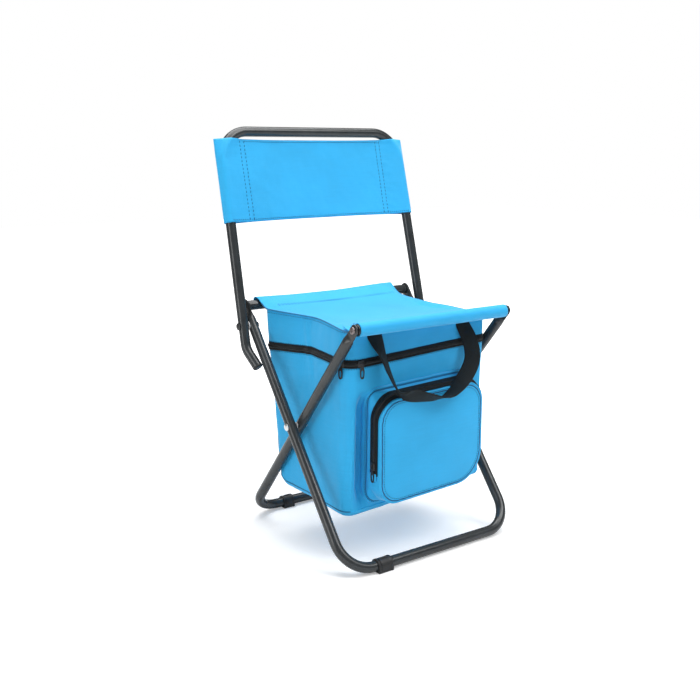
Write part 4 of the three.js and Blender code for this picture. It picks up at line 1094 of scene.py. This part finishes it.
def loop_terms(half_rear, side, front, corner):
    """Terms (sx, sy, cx, cy) of a rounded rectangle, from the middle of its rear edge round its left, front
    and right: each point is (sx (a - r) + cx r, sy (b - r) + cy r). With them, the count of points at the end
    of each part."""
    corners = np.array([(0, 1), (-1, 1), (-1, -1), (1, -1), (1, 1), (0, 1)], float)
    faces = ((0, 1), (-1, 0), (0, -1), (1, 0), (0, 1))
    parts = []
    for k, count in enumerate((half_rear, side, front, side, half_rear)):
        t = np.linspace(0, 1, count + 2)[1:-1, None]
        ends = corners[k] + (corners[k + 1] - corners[k]) * t
        parts.append(np.concatenate([ends, np.broadcast_to(faces[k], ends.shape)], 1))
        if k < 4:
            angle = (k + 1) % 4 * np.pi / 2 + np.linspace(0, np.pi / 2, corner)
            bend = np.broadcast_to(corners[k + 1], (corner, 2))
            parts.append(np.concatenate([bend, np.stack([np.cos(angle), np.sin(angle)], 1)], 1))
    return np.concatenate(parts).T, np.cumsum([len(part) for part in parts])


BAG_TERMS, BAG_COUNTS = loop_terms(26, 64, 80, 16)
COLUMNS = BAG_TERMS.shape[1]
ZIP_COLUMNS = slice(BAG_COUNTS[1] - 8, BAG_COUNTS[6] + 8)
ZIPPED = np.zeros(COLUMNS)
ZIPPED[ZIP_COLUMNS] = 1
WALL_OUT = np.stack([*BAG_TERMS[2:], np.zeros(COLUMNS)], 1)


def front_relief(x, z):
    """The front wall swells beside its left corner and is drawn in where the pocket is sewn on: two bells
    across X, faded out above and below the pocket."""
    window = smooth((z - RELIEF_LOW) / RELIEF_FADE) * smooth((RELIEF_TOP - z) / RELIEF_FADE)
    return window * (SWELL_H * bell(x - SWELL_X, SWELL_W) - DENT_H * bell(x - DENT_X, DENT_W))


def bag_wall(z, inset=0.0):
    """Points of the bag's wall at heights z (before its skew), one for each column of the loop: a rounded
    rectangle whose floor is drawn in, whose sides have a kinked waist that fades downwards, and whose panels
    belly and crease."""
    sx, sy, cx, cy = BAG_TERMS
    below = ZIP_Z - z
    drop = np.clip(below / (ZIP_Z - BAG_FLOOR_Z), 0, 1)
    above = np.clip(-below / BAND_H, 0, 1)
    right = BAG_HALF_RIGHT + FLOOR_RIGHT_OUT * drop + TOP_RIGHT_OUT * (1 - smooth(2.5 * drop))
    half = np.where(sx > 0, right, BAG_HALF - FLOOR_SIDE_IN * drop) - inset
    front = BAG_FRONT_Y + FLOOR_FRONT_IN * drop + inset
    rear = BAG_REAR_Y - FLOOR_REAR_IN * drop - inset
    rear = rear - REAR_STEP * smooth(drop / 0.16) * (1 - drop) + REAR_FLARE * above**2
    radius = np.where(sy < 0, np.where(cx + sx < 0, LEFT_FRONT_R, RIGHT_FRONT_R), REAR_R)
    radius = np.maximum(radius * (1 - 0.25 * drop) - inset, LEAST_R)
    mid, deep = (front + rear) / 2, (rear - front) / 2
    x = sx * (half - radius) + cx * radius
    y = mid + sy * (deep - radius) + cy * radius
    share = (y - mid) / deep
    waist = BAG_WAIST * (1 + 0.15 * above) * (1 - smooth(drop * 1.15) * 0.8)
    x = x * (1 - waist * drawn_in(share, BAG_KINK) / half)
    tall = np.sin(np.pi * drop)
    face = np.abs(cy) * (1 - np.clip(np.abs(x) / half, 0, 1) ** 2)
    puff = FLANK_PUFF * np.abs(cx) * (1 - np.abs(share)) * smooth(drop * 1.6)
    puff = tall * (puff + face * (FRONT_PUFF * (cy < 0) + REAR_PUFF * (cy > 0)))
    loop_at = np.where(np.abs(cx) > 0.5, y, x)
    puff = puff + BAG_CREASE * creases(loop_at + 0.3 * cx, z, 85 * MM, 21) * (0.35 + 0.65 * drop)
    puff = puff + BAG_FINE_CREASE * creases(loop_at, z * 0.5, 30 * MM, 22)
    tuck = sum(h * bell(y - mid - at + slope * below, width) for h, at, slope, width in TUCKS)
    puff = puff + BAG_TUCK * tuck * smooth(np.abs(cx)) * (1 - smooth(drop * 2.5))
    return x + cx * puff + slid(y, BAG_SLIDE), y + cy * (puff + front_relief(x, z) * np.clip(-cy, 0, 1))


def skewed(x, y, z):
    """Points of the bag, whose right side stands higher in proportion to X."""
    return np.stack([x, y, z + BAG_SKEW * x], -1)


def zip_dip(x, y):
    """How far the zip is off its level at the left: lower at the rear and at the front corner, higher between
    them, straight from place to place along Y and eased off across X."""
    ends = [BAG_FRONT_Y, (BAG_FRONT_Y + BAG_REAR_Y) / 2, BAG_REAR_Y]
    return np.interp(y, ends, ZIP_DIPS) * smooth(0.5 - x / BAG_HALF)


def disc(rim, count):
    """A grid that closes a rim on its middle, and each row's share of the rim's size."""
    share = np.linspace(0.02, 1, count)[:, None]
    return rim.mean(0) + (rim - rim.mean(0)) * share[..., None], share


def bag_body():
    """The bag below its zip: a floor edge that is a quarter of a circle, walls up from it, and a floor that
    sags by one less the square of the share from its middle. The front left corner hangs lower and the heel
    is drawn up, both eased off with height."""
    turn = np.linspace(0.05, np.pi / 2, BAG_EDGE_ROWS)[:, None]
    edge_z = BAG_FLOOR_Z + BAG_EDGE_R * (1 - np.cos(turn))
    rise = np.linspace(0, 1, 76)[1:, None]
    top = ZIP_Z - ZIP_HALF * (0.8 * ZIPPED - 0.3 * (1 - ZIPPED))
    z = np.concatenate([edge_z * np.ones(COLUMNS), edge_z[-1] + (top - edge_z[-1]) * rise])
    x, y = bag_wall(z, np.concatenate([BAG_EDGE_R * (1 - np.sin(turn)), 0 * rise]))
    high = (z - BAG_FLOOR_Z) / (ZIP_Z - BAG_FLOOR_Z)
    corner = smooth(0.5 - x / (1.6 * BAG_HALF)) * smooth((CORNER_REAR_Y - y) / CORNER_RUN)
    heel = smooth((y - BAG_REAR_Y + FLOOR_REAR_IN + HEEL_RUN) / HEEL_RUN)
    lift = smooth(high) ** 3 * zip_dip(x, y) - CORNER_HANG * corner * (1 - smooth(high * 1.5))
    wall = skewed(x, y, z + lift + HEEL_LIFT * heel**2 * (1 - smooth(high * 5)))
    base, share = disc(wall[0], 16)
    base[..., 2] -= FLOOR_SAG * (1 - share**2)
    uvs = [None, joined(base)[..., :2]]
    cloth_piece("bag_cloth", [wall, base], CLOTH, "outer_frame", "bag_body", fold=SOFT, ring=True, uvs=uvs)
    return wall


def bag_band():
    """The bag above its zip: walls that rise straight from the zip to the seat's underside, or to its hem at
    the sides, and bow out there by the sine of the rise."""
    low = ZIP_Z + ZIP_HALF * (0.8 * ZIPPED - 1.2 * (1 - ZIPPED))
    rise = np.linspace(0, 1, 26)[:, None]
    x, y = bag_wall(low + (ZIP_Z + BAND_H - low) * rise)
    beside = smooth(np.abs(BAG_TERMS[2]) * 1.5)
    edge = under_seat(y) * (1 - beside) + (hem_z(y) - CLOTH_T) * beside + BAND_OVERLAP
    height = (low + zip_dip(x, y) + BAG_SKEW * x) * (1 - rise) + edge * rise
    bow = BAND_BOW * np.sin(np.pi * rise) * np.sign(x) * np.abs(BAG_TERMS[2])
    grid = np.stack([x + bow, y, height], -1)
    cloth_piece("bag_top_cloth", [grid], CLOTH, "outer_frame", "bag_top_band", fold=SOFT, ring=True)
    return grid


BAG_GRID = bag_body()
BAND_GRID = bag_band()


def bag_seams():
    """Piping round the floor's edge and up the rear corners, and stitches beside the zip and under the
    seat."""
    level = BAG_EDGE_ROWS - 1
    rim = BAG_GRID[level]
    first, last = BAG_COUNTS[3] - 6, BAG_COUNTS[4] + 6
    heel = np.concatenate([rim[last:], rim[: first + 1]])
    posts = [BAG_GRID[level + 2 : -2, column] for column in (BAG_COUNTS[0] + 8, BAG_COUNTS[6] + 8)]
    beads = [bead(heel, Z, PIPING_R), *(bead(post, X, PIPING_R) for post in posts)]
    # Along the rear, the sides and up the rear corners the piping is darker blue, partly its own colour and
    # partly painted shade; at the front it has the cloth's colour.
    make("bag_floor_piping", beads, PIPING_AND_SHADE, "outer_frame", fold=SOFT)
    beads = [bead(rim[first : last + 1], Z, FRONT_PIPING_R)]
    make("bag_front_piping", beads, CLOTH, "outer_frame", fold=SOFT)
    out = WALL_OUT[ZIP_COLUMNS]
    lines = [row[ZIP_COLUMNS] for row in (BAG_GRID[-2], BAND_GRID[1], BAND_GRID[-3])]
    rows = [stitches(line + out * CLOTH_T / 2, out) for line in lines]
    make("bag_stitching", rows, THREAD_AND_SHADE, "outer_frame", fold=SOFT)


def drawn_wall(z, inset):
    """The bag's wall moved inwards and drawn in a little about its middle."""
    x, y = bag_wall(z, inset)
    return skewed(x * LINER_SHARE, (y - y.mean()) * LINER_SHARE + y.mean(), z)


def bag_inside():
    """Liner and base board: the bag's own wall moved inwards, and a thin slab on its floor."""
    z = np.linspace(BAG_FLOOR_Z + LINER_MARGIN, ZIP_Z - LINER_MARGIN, 30)[:, None]
    wall = drawn_wall(z * np.ones(COLUMNS), LINER_IN)
    base, _ = disc(wall[0], 12)
    uvs = [None, joined(base)[..., :2]]
    cloth_piece(
        "liner_foil", [wall, base], FOIL, "outer_frame", "bag_liner",
        fold=INSIDE, thickness=LINER_T, ring=True, uvs=uvs)
    rim = drawn_wall(np.full((1, COLUMNS), BOARD_Z), BOARD_IN)[0]
    slab = np.stack([rim - BOARD_HALF_T * Z, rim + BOARD_HALF_T * Z])
    shell = grid_faces(slab, ring=True, caps=True)
    make("base_board_slab", [shell], BOARD, "outer_frame", "bag_base_board", fold=INSIDE)


bag_seams()
bag_inside()

# Zips

COIL_PITCH = 1.6 * MM
COIL_HALF = 2.3 * MM
COIL_H = 1.25 * MM
COIL_T = 0.5 * MM
TAPE_T = 1.1 * MM
TAPE_RAISED = 0.35 * MM
COIL_PROUD = 0.4 * MM
MAIN_ZIP_PROUD = 0.9 * MM
POCKET_ZIP_PROUD = 0.5 * MM


def zip_piece(name, line, out, across, half):
    """Tape and coil of a zip along a line: a tape that is half wide each way and a little raised in its
    middle, and a coil ridge whose height goes as 0.62 + 0.38 cos of the run, with its two sides half a pitch
    apart."""
    w = np.linspace(-1, 1, 13)[None, :, None]
    tape = line[:, None] + across[:, None] * half * w + out[:, None] * TAPE_RAISED * bell(w, 0.35)
    run = run_of(line)
    at = np.linspace(0, run[-1], int(run[-1] / (COIL_PITCH / 6)))
    centre, lift, side = (sampled(run, at, field)[:, None] for field in (line, out, across))
    v = np.linspace(-1, 1, 9)
    phase = TURN * at[:, None] / COIL_PITCH + np.pi * (v > 0)
    ridge = np.sqrt(1 - v**2) * (1 - 0.35 * bell(v, 0.14))
    height = COIL_H * ridge * (0.62 + 0.38 * np.cos(phase)) + COIL_PROUD
    coil = centre + side * (COIL_HALF * v)[None, :, None] + lift * height[..., None]
    cloth_piece(name, [tape], ZIP_WEB, "outer_frame", name + "_tape", fold=SOFT, thickness=TAPE_T)
    cloth_piece(name + "_coil", [coil], COIL, "outer_frame", fold=SOFT, thickness=COIL_T)


def main_zip():
    """Zip round the bag's left, front and right, on its wall."""
    z = np.full((1, COLUMNS), ZIP_Z)
    x, y = bag_wall(z)
    line = skewed(x, y, z + zip_dip(x, y))[0][ZIP_COLUMNS]
    out = unit(np.cross(ways_of(line), Z))
    out = np.where((out * WALL_OUT[ZIP_COLUMNS]).sum(1, keepdims=True) < 0, -out, out)
    zip_piece("main_zip", line + out * MAIN_ZIP_PROUD, out, np.broadcast_to(Z, line.shape), ZIP_HALF)
    return line, out


MAIN_ZIP = main_zip()

# Front pocket

POCKET_X = 8 * MM
POCKET_Z = 161.16 * MM
POCKET_HALF_W = 92 * MM
POCKET_HALF_H = 73 * MM
POCKET_R = 30 * MM
POCKET_FOOT_R = 44 * MM
POCKET_WALL_R = 11 * MM
POCKET_FACE_Y = BAG_FRONT_Y - 25 * MM
POCKET_RISE = 11 * MM
POCKET_BELLY = 3.6 * MM
POCKET_CLOTH_T = 0.9 * MM
POCKET_CREASE = 0.9 * MM
POCKET_PUCKER = 0.4 * MM
POCKET_PUCKER_L, POCKET_SWAY_L = 11.5 * MM, 93 * MM
GUSSET_OUT, GUSSET_BULGE, GUSSET_PROUD = 0.4 * MM, 1.6 * MM, 1 * MM
GUSSET_PUCKER, GUSSET_PUCKER_L = 0.5 * MM, 19 * MM
GROOVE_SHADE_R = 0.9 * MM
FOLD_SHADE_R = 0.75 * MM
POCKET_TERMS, POCKET_COUNTS = loop_terms(34, 40, 68, 18)
POCKET_ZIP_START = 12 * MM
POCKET_ZIP_NEAR, POCKET_ZIP_FAR = 0.06, 0.66
POCKET_ZIP_HALF = 8 * MM
POCKET_ZIP_OUT = 2.2 * MM
STOP_PROUD, STOP_BOW, STOP_HALF, STOP_ABOVE, STOP_L = np.array([1.4, 0.4, 6.4, 3, 10]) * MM
FLANGE = ((5.4, -0.6), (5.0, 1.0), (4.0, 1.7), (2.8, 1.3), (1.6, 0.8), (0.6, 1.0))
FLANGE_STITCH = 3


def front_wall(x, z):
    """Y of the bag's front wall at given places: the mean of its points, weighted by a bell of their
    distance."""
    front = BAG_GRID[:, BAG_COUNTS[3] - 12 : BAG_COUNTS[4] + 12].reshape(-1, 3)
    weight = bell(np.hypot(x[:, None] - front[:, 0], z[:, None] - front[:, 2]), 3 * MM)
    return (weight * front[:, 1]).sum(1) / weight.sum(1) - CLOTH_T / 2


def pocket_loop(outset, back, proud=0.0):
    """The pocket's outline moved outward, at a share of the way back from its face to the bag's wall; its top
    slopes up to the wall, its left corners are squarer at the wall, and its lower right corner has a wider
    radius; the loop starts in the middle of the pocket's foot."""
    sx, sz, cx, cz = POCKET_TERMS * np.array([[1], [-1], [1], [-1]])
    foot = np.clip((1 + sx) / 2, 0, 1) * np.clip((1 - sz) / 2, 0, 1)
    left = np.clip((1 - sx) / 2, 0, 1) * smooth((back - 0.66) / 0.34)
    radius = POCKET_R + (POCKET_FOOT_R - POCKET_R) * foot + (POCKET_WALL_R - POCKET_R) * left + outset
    x = POCKET_X + sx * (POCKET_HALF_W + outset - radius) + cx * radius
    z = POCKET_Z + sz * (POCKET_HALF_H + outset - radius) + cz * radius
    z = z + POCKET_RISE * back * smooth((z - POCKET_Z) / POCKET_HALF_H) + BAG_SKEW * x
    y = POCKET_FACE_Y + (front_wall(x, z) - proud - POCKET_FACE_Y) * back
    return np.stack([x, y, z], -1)


def pocket():
    """Pocket: a flange sewn to the bag, a gusset that bulges by sin over its depth, a piped edge and a front
    panel that bellies out by one less a power of the share from its middle, with puckers along the piping."""
    flange = [pocket_loop(out * MM, 1.0, up * MM) for out, up in FLANGE]
    t = np.linspace(0, 1, 16)
    bulge = GUSSET_OUT + GUSSET_BULGE * np.sin(np.pi * t)
    gusset = np.stack([pocket_loop(out, 1 - s, GUSSET_PROUD) for out, s in zip(bulge, t)])
    run = run_of(gusset[8])
    gusset[..., 1] += GUSSET_PUCKER * np.sin(TURN * run / GUSSET_PUCKER_L) * np.sin(np.pi * t)[:, None]
    sides = [np.concatenate([flange, gusset])]
    cloth_piece(
        "pocket_gusset", sides, CLOTH, "outer_frame", "pocket_shell",
        fold=SOFT, thickness=POCKET_CLOTH_T, ring=True)

    centre = np.array([POCKET_X, POCKET_FACE_Y, POCKET_Z + BAG_SKEW * POCKET_X])
    share = np.concatenate([np.linspace(0.02, 0.9, 26)[:-1], np.linspace(0.9, 1, 12)])[:, None]
    panel = centre + (pocket_loop(-0.6 * MM, 0.0) - centre) * share[..., None]
    inner = 1 - share
    crease = creases(panel[..., 0], panel[..., 2], 70 * MM, 31)
    belly = POCKET_BELLY * (1 - share**2.4) + POCKET_CREASE * inner * crease
    sway = 1.5 * np.sin(TURN * run / POCKET_SWAY_L)
    pucker = POCKET_PUCKER * np.sin(TURN * run / POCKET_PUCKER_L + sway)
    panel[..., 1] -= belly + pucker * bell(inner, 0.06) * (1 - bell(inner, 0.012))
    uvs = [joined(panel)[..., [0, 2]]]
    cloth_piece("pocket_front", [panel], CLOTH, "outer_frame", fold=SOFT, ring=True, uvs=uvs)

    edge, groove = pocket_loop(0.5 * MM, 0.016), pocket_loop(1.2 * MM, 1.0, 1.3 * MM)
    make("pocket_piping", [bead_ring(edge, FRONT_PIPING_R)], CLOTH, "outer_frame", fold=SOFT)
    # A dark bead round the foot of the gusset, where it rises from its flange: painted shade in that crease.
    make("pocket_groove_painted_shade", [bead_ring(groove, GROOVE_SHADE_R)], PIPING_AND_SHADE, "outer_frame", fold=SOFT)
    lines = [line - 0.7 * MM * Y for line in (panel[-7], flange[FLANGE_STITCH])]
    rows = [stitches(np.concatenate([line, line[:1]]), -Y) for line in lines]
    # A continuous dark bead just inside the piped edge, where the front panel folds into it: painted shade in
    # that fold.
    rows.append(bead_ring(panel[-3] - 0.5 * MM * Y, FOLD_SHADE_R))
    make("pocket_stitching_and_fold_shade", rows, THREAD_AND_SHADE, "outer_frame", fold=SOFT)


pocket()


def pocket_zip():
    """Zip up the pocket's left side, over its top and down its right side, on the gusset's outer face, with a
    cloth tab over its lower end."""
    near, far = (pocket_loop(POCKET_ZIP_OUT, back) for back in (POCKET_ZIP_NEAR, POCKET_ZIP_FAR))
    left = near[POCKET_COUNTS[1] : POCKET_COUNTS[2]]
    low = POCKET_Z - POCKET_HALF_H + POCKET_R + POCKET_ZIP_START
    first = POCKET_COUNTS[1] + int(np.argmax(left[:, 2] - BAG_SKEW * left[:, 0] > low))
    line, near, far = (spaced(edge[first : POCKET_COUNTS[5]], 160) for edge in ((near + far) / 2, near, far))
    across = unit(far - near)
    out = unit(np.cross(across, ways_of(line)))
    out = out * np.sign(out[0] @ -X)
    zip_piece("pocket_zip", line + out * POCKET_ZIP_PROUD, out, across, POCKET_ZIP_HALF)
    a, b = (v[..., None] for v in np.meshgrid(np.linspace(0, 1, 9), np.linspace(-1, 1, 9), indexing="ij"))
    rise, side, fall = STOP_PROUD - STOP_BOW * b**2, STOP_HALF * b, STOP_ABOVE - STOP_L * a
    tab = line[0] + out[0] * rise + across[0] * side + Z * fall
    cloth_piece("pocket_zip_stop", [tab], CLOTH, "outer_frame", fold=SOFT)
    return line, out


POCKET_ZIP = pocket_zip()

# Zip sliders and pulls

SLIDER_HALF = (5.6 * MM, 4.6 * MM, 1.7 * MM)
SLIDER_PROUD = 2.0 * MM
BRIDGE_PROUD = 3.0 * MM
BRIDGE_HALF = 3.8 * MM
BRIDGE_H = 2.8 * MM
BRIDGE_W, BRIDGE_T = 1.4 * MM, 0.6 * MM
PULL_L = 22.5 * MM
PULL_HALF = 3.6 * MM
PULL_T = 1.3 * MM
PULL_PROUD = 0.8 * MM
PULL_ABOVE = 0.5 * MM
BARREL_R = 0.85 * MM
BARREL_HALF = 2.3 * MM
SIDE_SHIFT = -9 * MM * Y
PLATE_RINGS = ((0.0, 0.5), (0.06, 1.0), (0.5, 1.0), (0.94, 1.0), (1.0, 0.5))


def bulged(v, power):
    """A power of a value that keeps its sign."""
    return np.sign(v) * np.abs(v) ** power


def rounded_block(centre, axes, sizes):
    """A pillow-shaped block: powers of cosines and sines of latitude and longitude, so its sides are nearly
    flat."""
    lat = np.linspace(-np.pi / 2 + 0.08, np.pi / 2 - 0.08, 14)[:, None]
    high, wide = bulged(np.sin(lat), 0.45), bulged(np.cos(lat), 0.45)
    cos, sin = (bulged(v, 0.45) for v in circle(24))
    terms = (wide * cos, wide * sin, high * np.ones_like(cos))
    grid = centre + sum((v * size)[..., None] * axis for v, size, axis in zip(terms, sizes, axes))
    return grid_faces(grid, ring=True, caps=True)


def pull_plate(top, out, side):
    """A pull with an oval hole low down: rings between its outline, which narrows upwards, and the hole, on
    its front and then its back."""
    cos, sin = circle(56)
    drop = PULL_L * (0.5 - 0.5 * bulged(sin, 0.75))
    wide = PULL_HALF * bulged(cos, 0.6) * (0.6 + 0.4 * smooth((drop / PULL_L - 0.15) / 0.4))
    outline = np.stack([drop, wide], 1)
    hole = np.stack([PULL_L * (0.68 - 0.21 * bulged(sin, 0.85)), PULL_HALF * 0.56 * bulged(cos, 0.8)], 1)
    back = [(share, -lift) for share, lift in PLATE_RINGS[::-1]]
    rows = [
        top + (outline + (hole - outline) * share) @ np.stack([-Z, side]) + lift * PULL_T / 2 * out
        for share, lift in (*PLATE_RINGS, *back)]
    return grid_faces(np.stack(rows), ring=True, loop=True)


def slider_and_pull(name, line, outs, shift=0):
    """A slider on its zip, its bridge half of an ellipse, and the pull that hangs from its joint under the
    bridge."""
    centre = middle(name + "_zip_slider") + shift
    near = int(np.argmin(np.linalg.norm(line - centre, axis=1)))
    base, out, along = line[near], outs[near], ways_of(line)[near]
    side = np.cross(out, along)
    block = rounded_block(base + out * SLIDER_PROUD, (along, side, out), SLIDER_HALF)
    t = np.linspace(0, np.pi, 18)[:, None]
    arch = base + out * (BRIDGE_PROUD + BRIDGE_H * np.sin(t)) - along * BRIDGE_HALF * np.cos(t)
    shells = [block, tube(arch, side, BRIDGE_W, BRIDGE_T, BEAD_SIDES)]
    make(name + "_slider_body", shells, PLASTIC, name + "_slider", name + "_zip_slider", fold=SOFT)
    eye = JOINTS[name + "_pull_lift"] + shift
    across = unit(np.cross(out, -Z))
    plate = pull_plate(eye + out * PULL_PROUD + Z * PULL_ABOVE, out, across)
    barrel = round_bar(eye - across * BARREL_HALF, eye + across * BARREL_HALF, BARREL_R, out, 0.3 * MM)
    make(name + "_pull_tab", [plate, barrel], PLASTIC, name + "_pull", name + "_zip_pull", fold=SOFT)


slider_and_pull("side", *MAIN_ZIP, SIDE_SHIFT)
slider_and_pull("front", *MAIN_ZIP)
slider_and_pull("pocket", *POCKET_ZIP)

# Carry strap

STRAP_HALF = 11.3 * MM
STRAP_T = 1.7 * MM
STRAP_CURL = 0.5 * MM
STRAP_LEAN = math.radians(21)
STRAP_PATH = np.array([
    (-79, -6), (-78.5, 4), (-71.5, 32), (-67.5, 55), (-60, 80), (-52, 88), (-38, 92), (-15, 98), (8, 103),
    (24, 102), (41, 94), (57, 83.5), (72.5, 70.5), (82.5, 57.5), (86.8, 43), (86, 25.5), (80.5, 6),
    (79.5, -6)]) * MM
STRAP_TWIST = np.radians([-12, -6, 32, 41, 54, 92, 126, 110, 92, 78, 62, 46, 36, 32, 30, 22, 8, 4])
TWIST_SCALE = 10 * MM


def carry_strap():
    """A ribbon of webbing along a loop in a leaning plane: each row crosses the loop by cos(twist) in the
    plane and sin(twist) out of it."""
    knots = np.concatenate([STRAP_PATH, STRAP_TWIST[:, None] * TWIST_SCALE], 1)
    x, drop, twist = flowing(knots, 220).T[..., None]
    hang = np.array([0, -math.sin(STRAP_LEAN), -math.cos(STRAP_LEAN)])
    face = np.array([0, -math.cos(STRAP_LEAN), math.sin(STRAP_LEAN)])
    line = JOINTS["strap_swing"] + x * X + drop * hang
    along = ways_of(line)
    twist = twist / TWIST_SCALE
    across = np.cos(twist) * np.cross(along, face) + np.sin(twist) * face
    w = np.linspace(-1, 1, 15)[None, :, None]
    curl = STRAP_CURL * w**2 * np.cross(along, across)[:, None]
    grid = line[:, None] + across[:, None] * STRAP_HALF * w + curl
    cloth_piece(
        "strap_webbing", [grid], STRAP_WEB, "carry_strap", "carry_strap", fold=SOFT, thickness=STRAP_T)


carry_strap()

# Floor, light and camera

FLOOR_HALF = 6
FLOOR_Z = -0.0004
WORLD_LIGHT = 0.4
GLOSS_LIGHT = 0.15
LAMPS = (
    ("top_light", 70, (2.2, 2.2), (0.2, 0.3, 2.5), (0, 0, 0.2)),
    ("key_light", 44, (1.5, 1.5), (1.0, -1.7, 2.5), (0, 0, 0.25)),
    ("left_light", 16, (0.9, 1.6), (-2.3, -0.3, 0.95), (0, 0, 0.25)))
CAMERA_PLACE = (-0.8372, -1.1191, 0.5670)
CAMERA_DOWN = math.radians(11.93)
CAMERA_TURN = math.radians(35.54)
CAMERA_LENS = 48.93
CAMERA_SENSOR = 36


def floor():
    """A pale floor that keeps the shadow and turns to plain white away from the object."""
    nodes = Nodes("pale_floor")
    place = nodes.place()
    far = nodes.add("VectorMath", {0: place}, out=1, operation="LENGTH")
    fade = {"Value": far, "From Min": 0.35, "From Max": 0.9}
    glow = nodes.between(nodes.add("MapRange", fade, interpolation_type="SMOOTHSTEP"), 0.3, 1.0)
    tone = nodes.ramp(nodes.noise(place, 40.0), (0.80, 0.805, 0.81), (0.84, 0.842, 0.845))
    material = nodes.finish(
        Base_Color=tone, Roughness=0.9, Specular_IOR_Level=0.1, Emission_Color=(1, 1, 1, 1),
        Emission_Strength=nodes.math("MULTIPLY", glow, nodes.add("LightPath")))
    mesh = bpy.data.meshes.new("floor")
    corners = [(x * FLOOR_HALF, y * FLOOR_HALF, FLOOR_Z) for x, y in ((-1, -1), (1, -1), (1, 1), (-1, 1))]
    mesh.from_pydata(corners, [], [(0, 1, 2, 3)])
    mesh.materials.append(material)
    linked("floor", mesh)


def studio():
    """Three soft lamps, and a white world that is dimmer for bounced light and dimmest for reflections."""
    world = bpy.data.worlds.new("studio")
    bpy.context.scene.world = world
    world.use_nodes = True
    tree = world.node_tree
    back = tree.nodes["Background"]
    path = tree.nodes.new("ShaderNodeLightPath")
    strength = None
    for ray, level in (("Is Glossy Ray", GLOSS_LIGHT), ("Is Camera Ray", 1.0), ("Is Transmission Ray", 1.0)):
        step = tree.nodes.new("ShaderNodeMix")
        step.inputs["A"].default_value = WORLD_LIGHT
        step.inputs["B"].default_value = level
        if strength:
            tree.links.new(strength, step.inputs["A"])
        tree.links.new(path.outputs[ray], step.inputs["Factor"])
        strength = step.outputs["Result"]
    back.inputs["Color"].default_value = (1, 1, 1, 1)
    tree.links.new(strength, back.inputs["Strength"])
    for name, power, size, place, aim in LAMPS:
        data = bpy.data.lights.new(name, "AREA")
        data.energy = power
        data.shape = "RECTANGLE"
        data.size, data.size_y = size
        lamp = linked(name, data)
        lamp.location = place
        lamp.rotation_euler = (Vector(place) - Vector(aim)).to_track_quat("Z", "Y").to_euler()


def camera():
    """The photograph's camera."""
    data = bpy.data.cameras.new("camera")
    data.sensor_width = CAMERA_SENSOR
    data.lens = CAMERA_LENS
    eye = linked("camera", data)
    eye.location = CAMERA_PLACE
    eye.rotation_euler = (math.pi / 2 - CAMERA_DOWN, 0, -CAMERA_TURN)
    bpy.context.scene.camera = eye
    bpy.context.scene.view_settings.view_transform = "Standard"


floor()
studio()
camera()
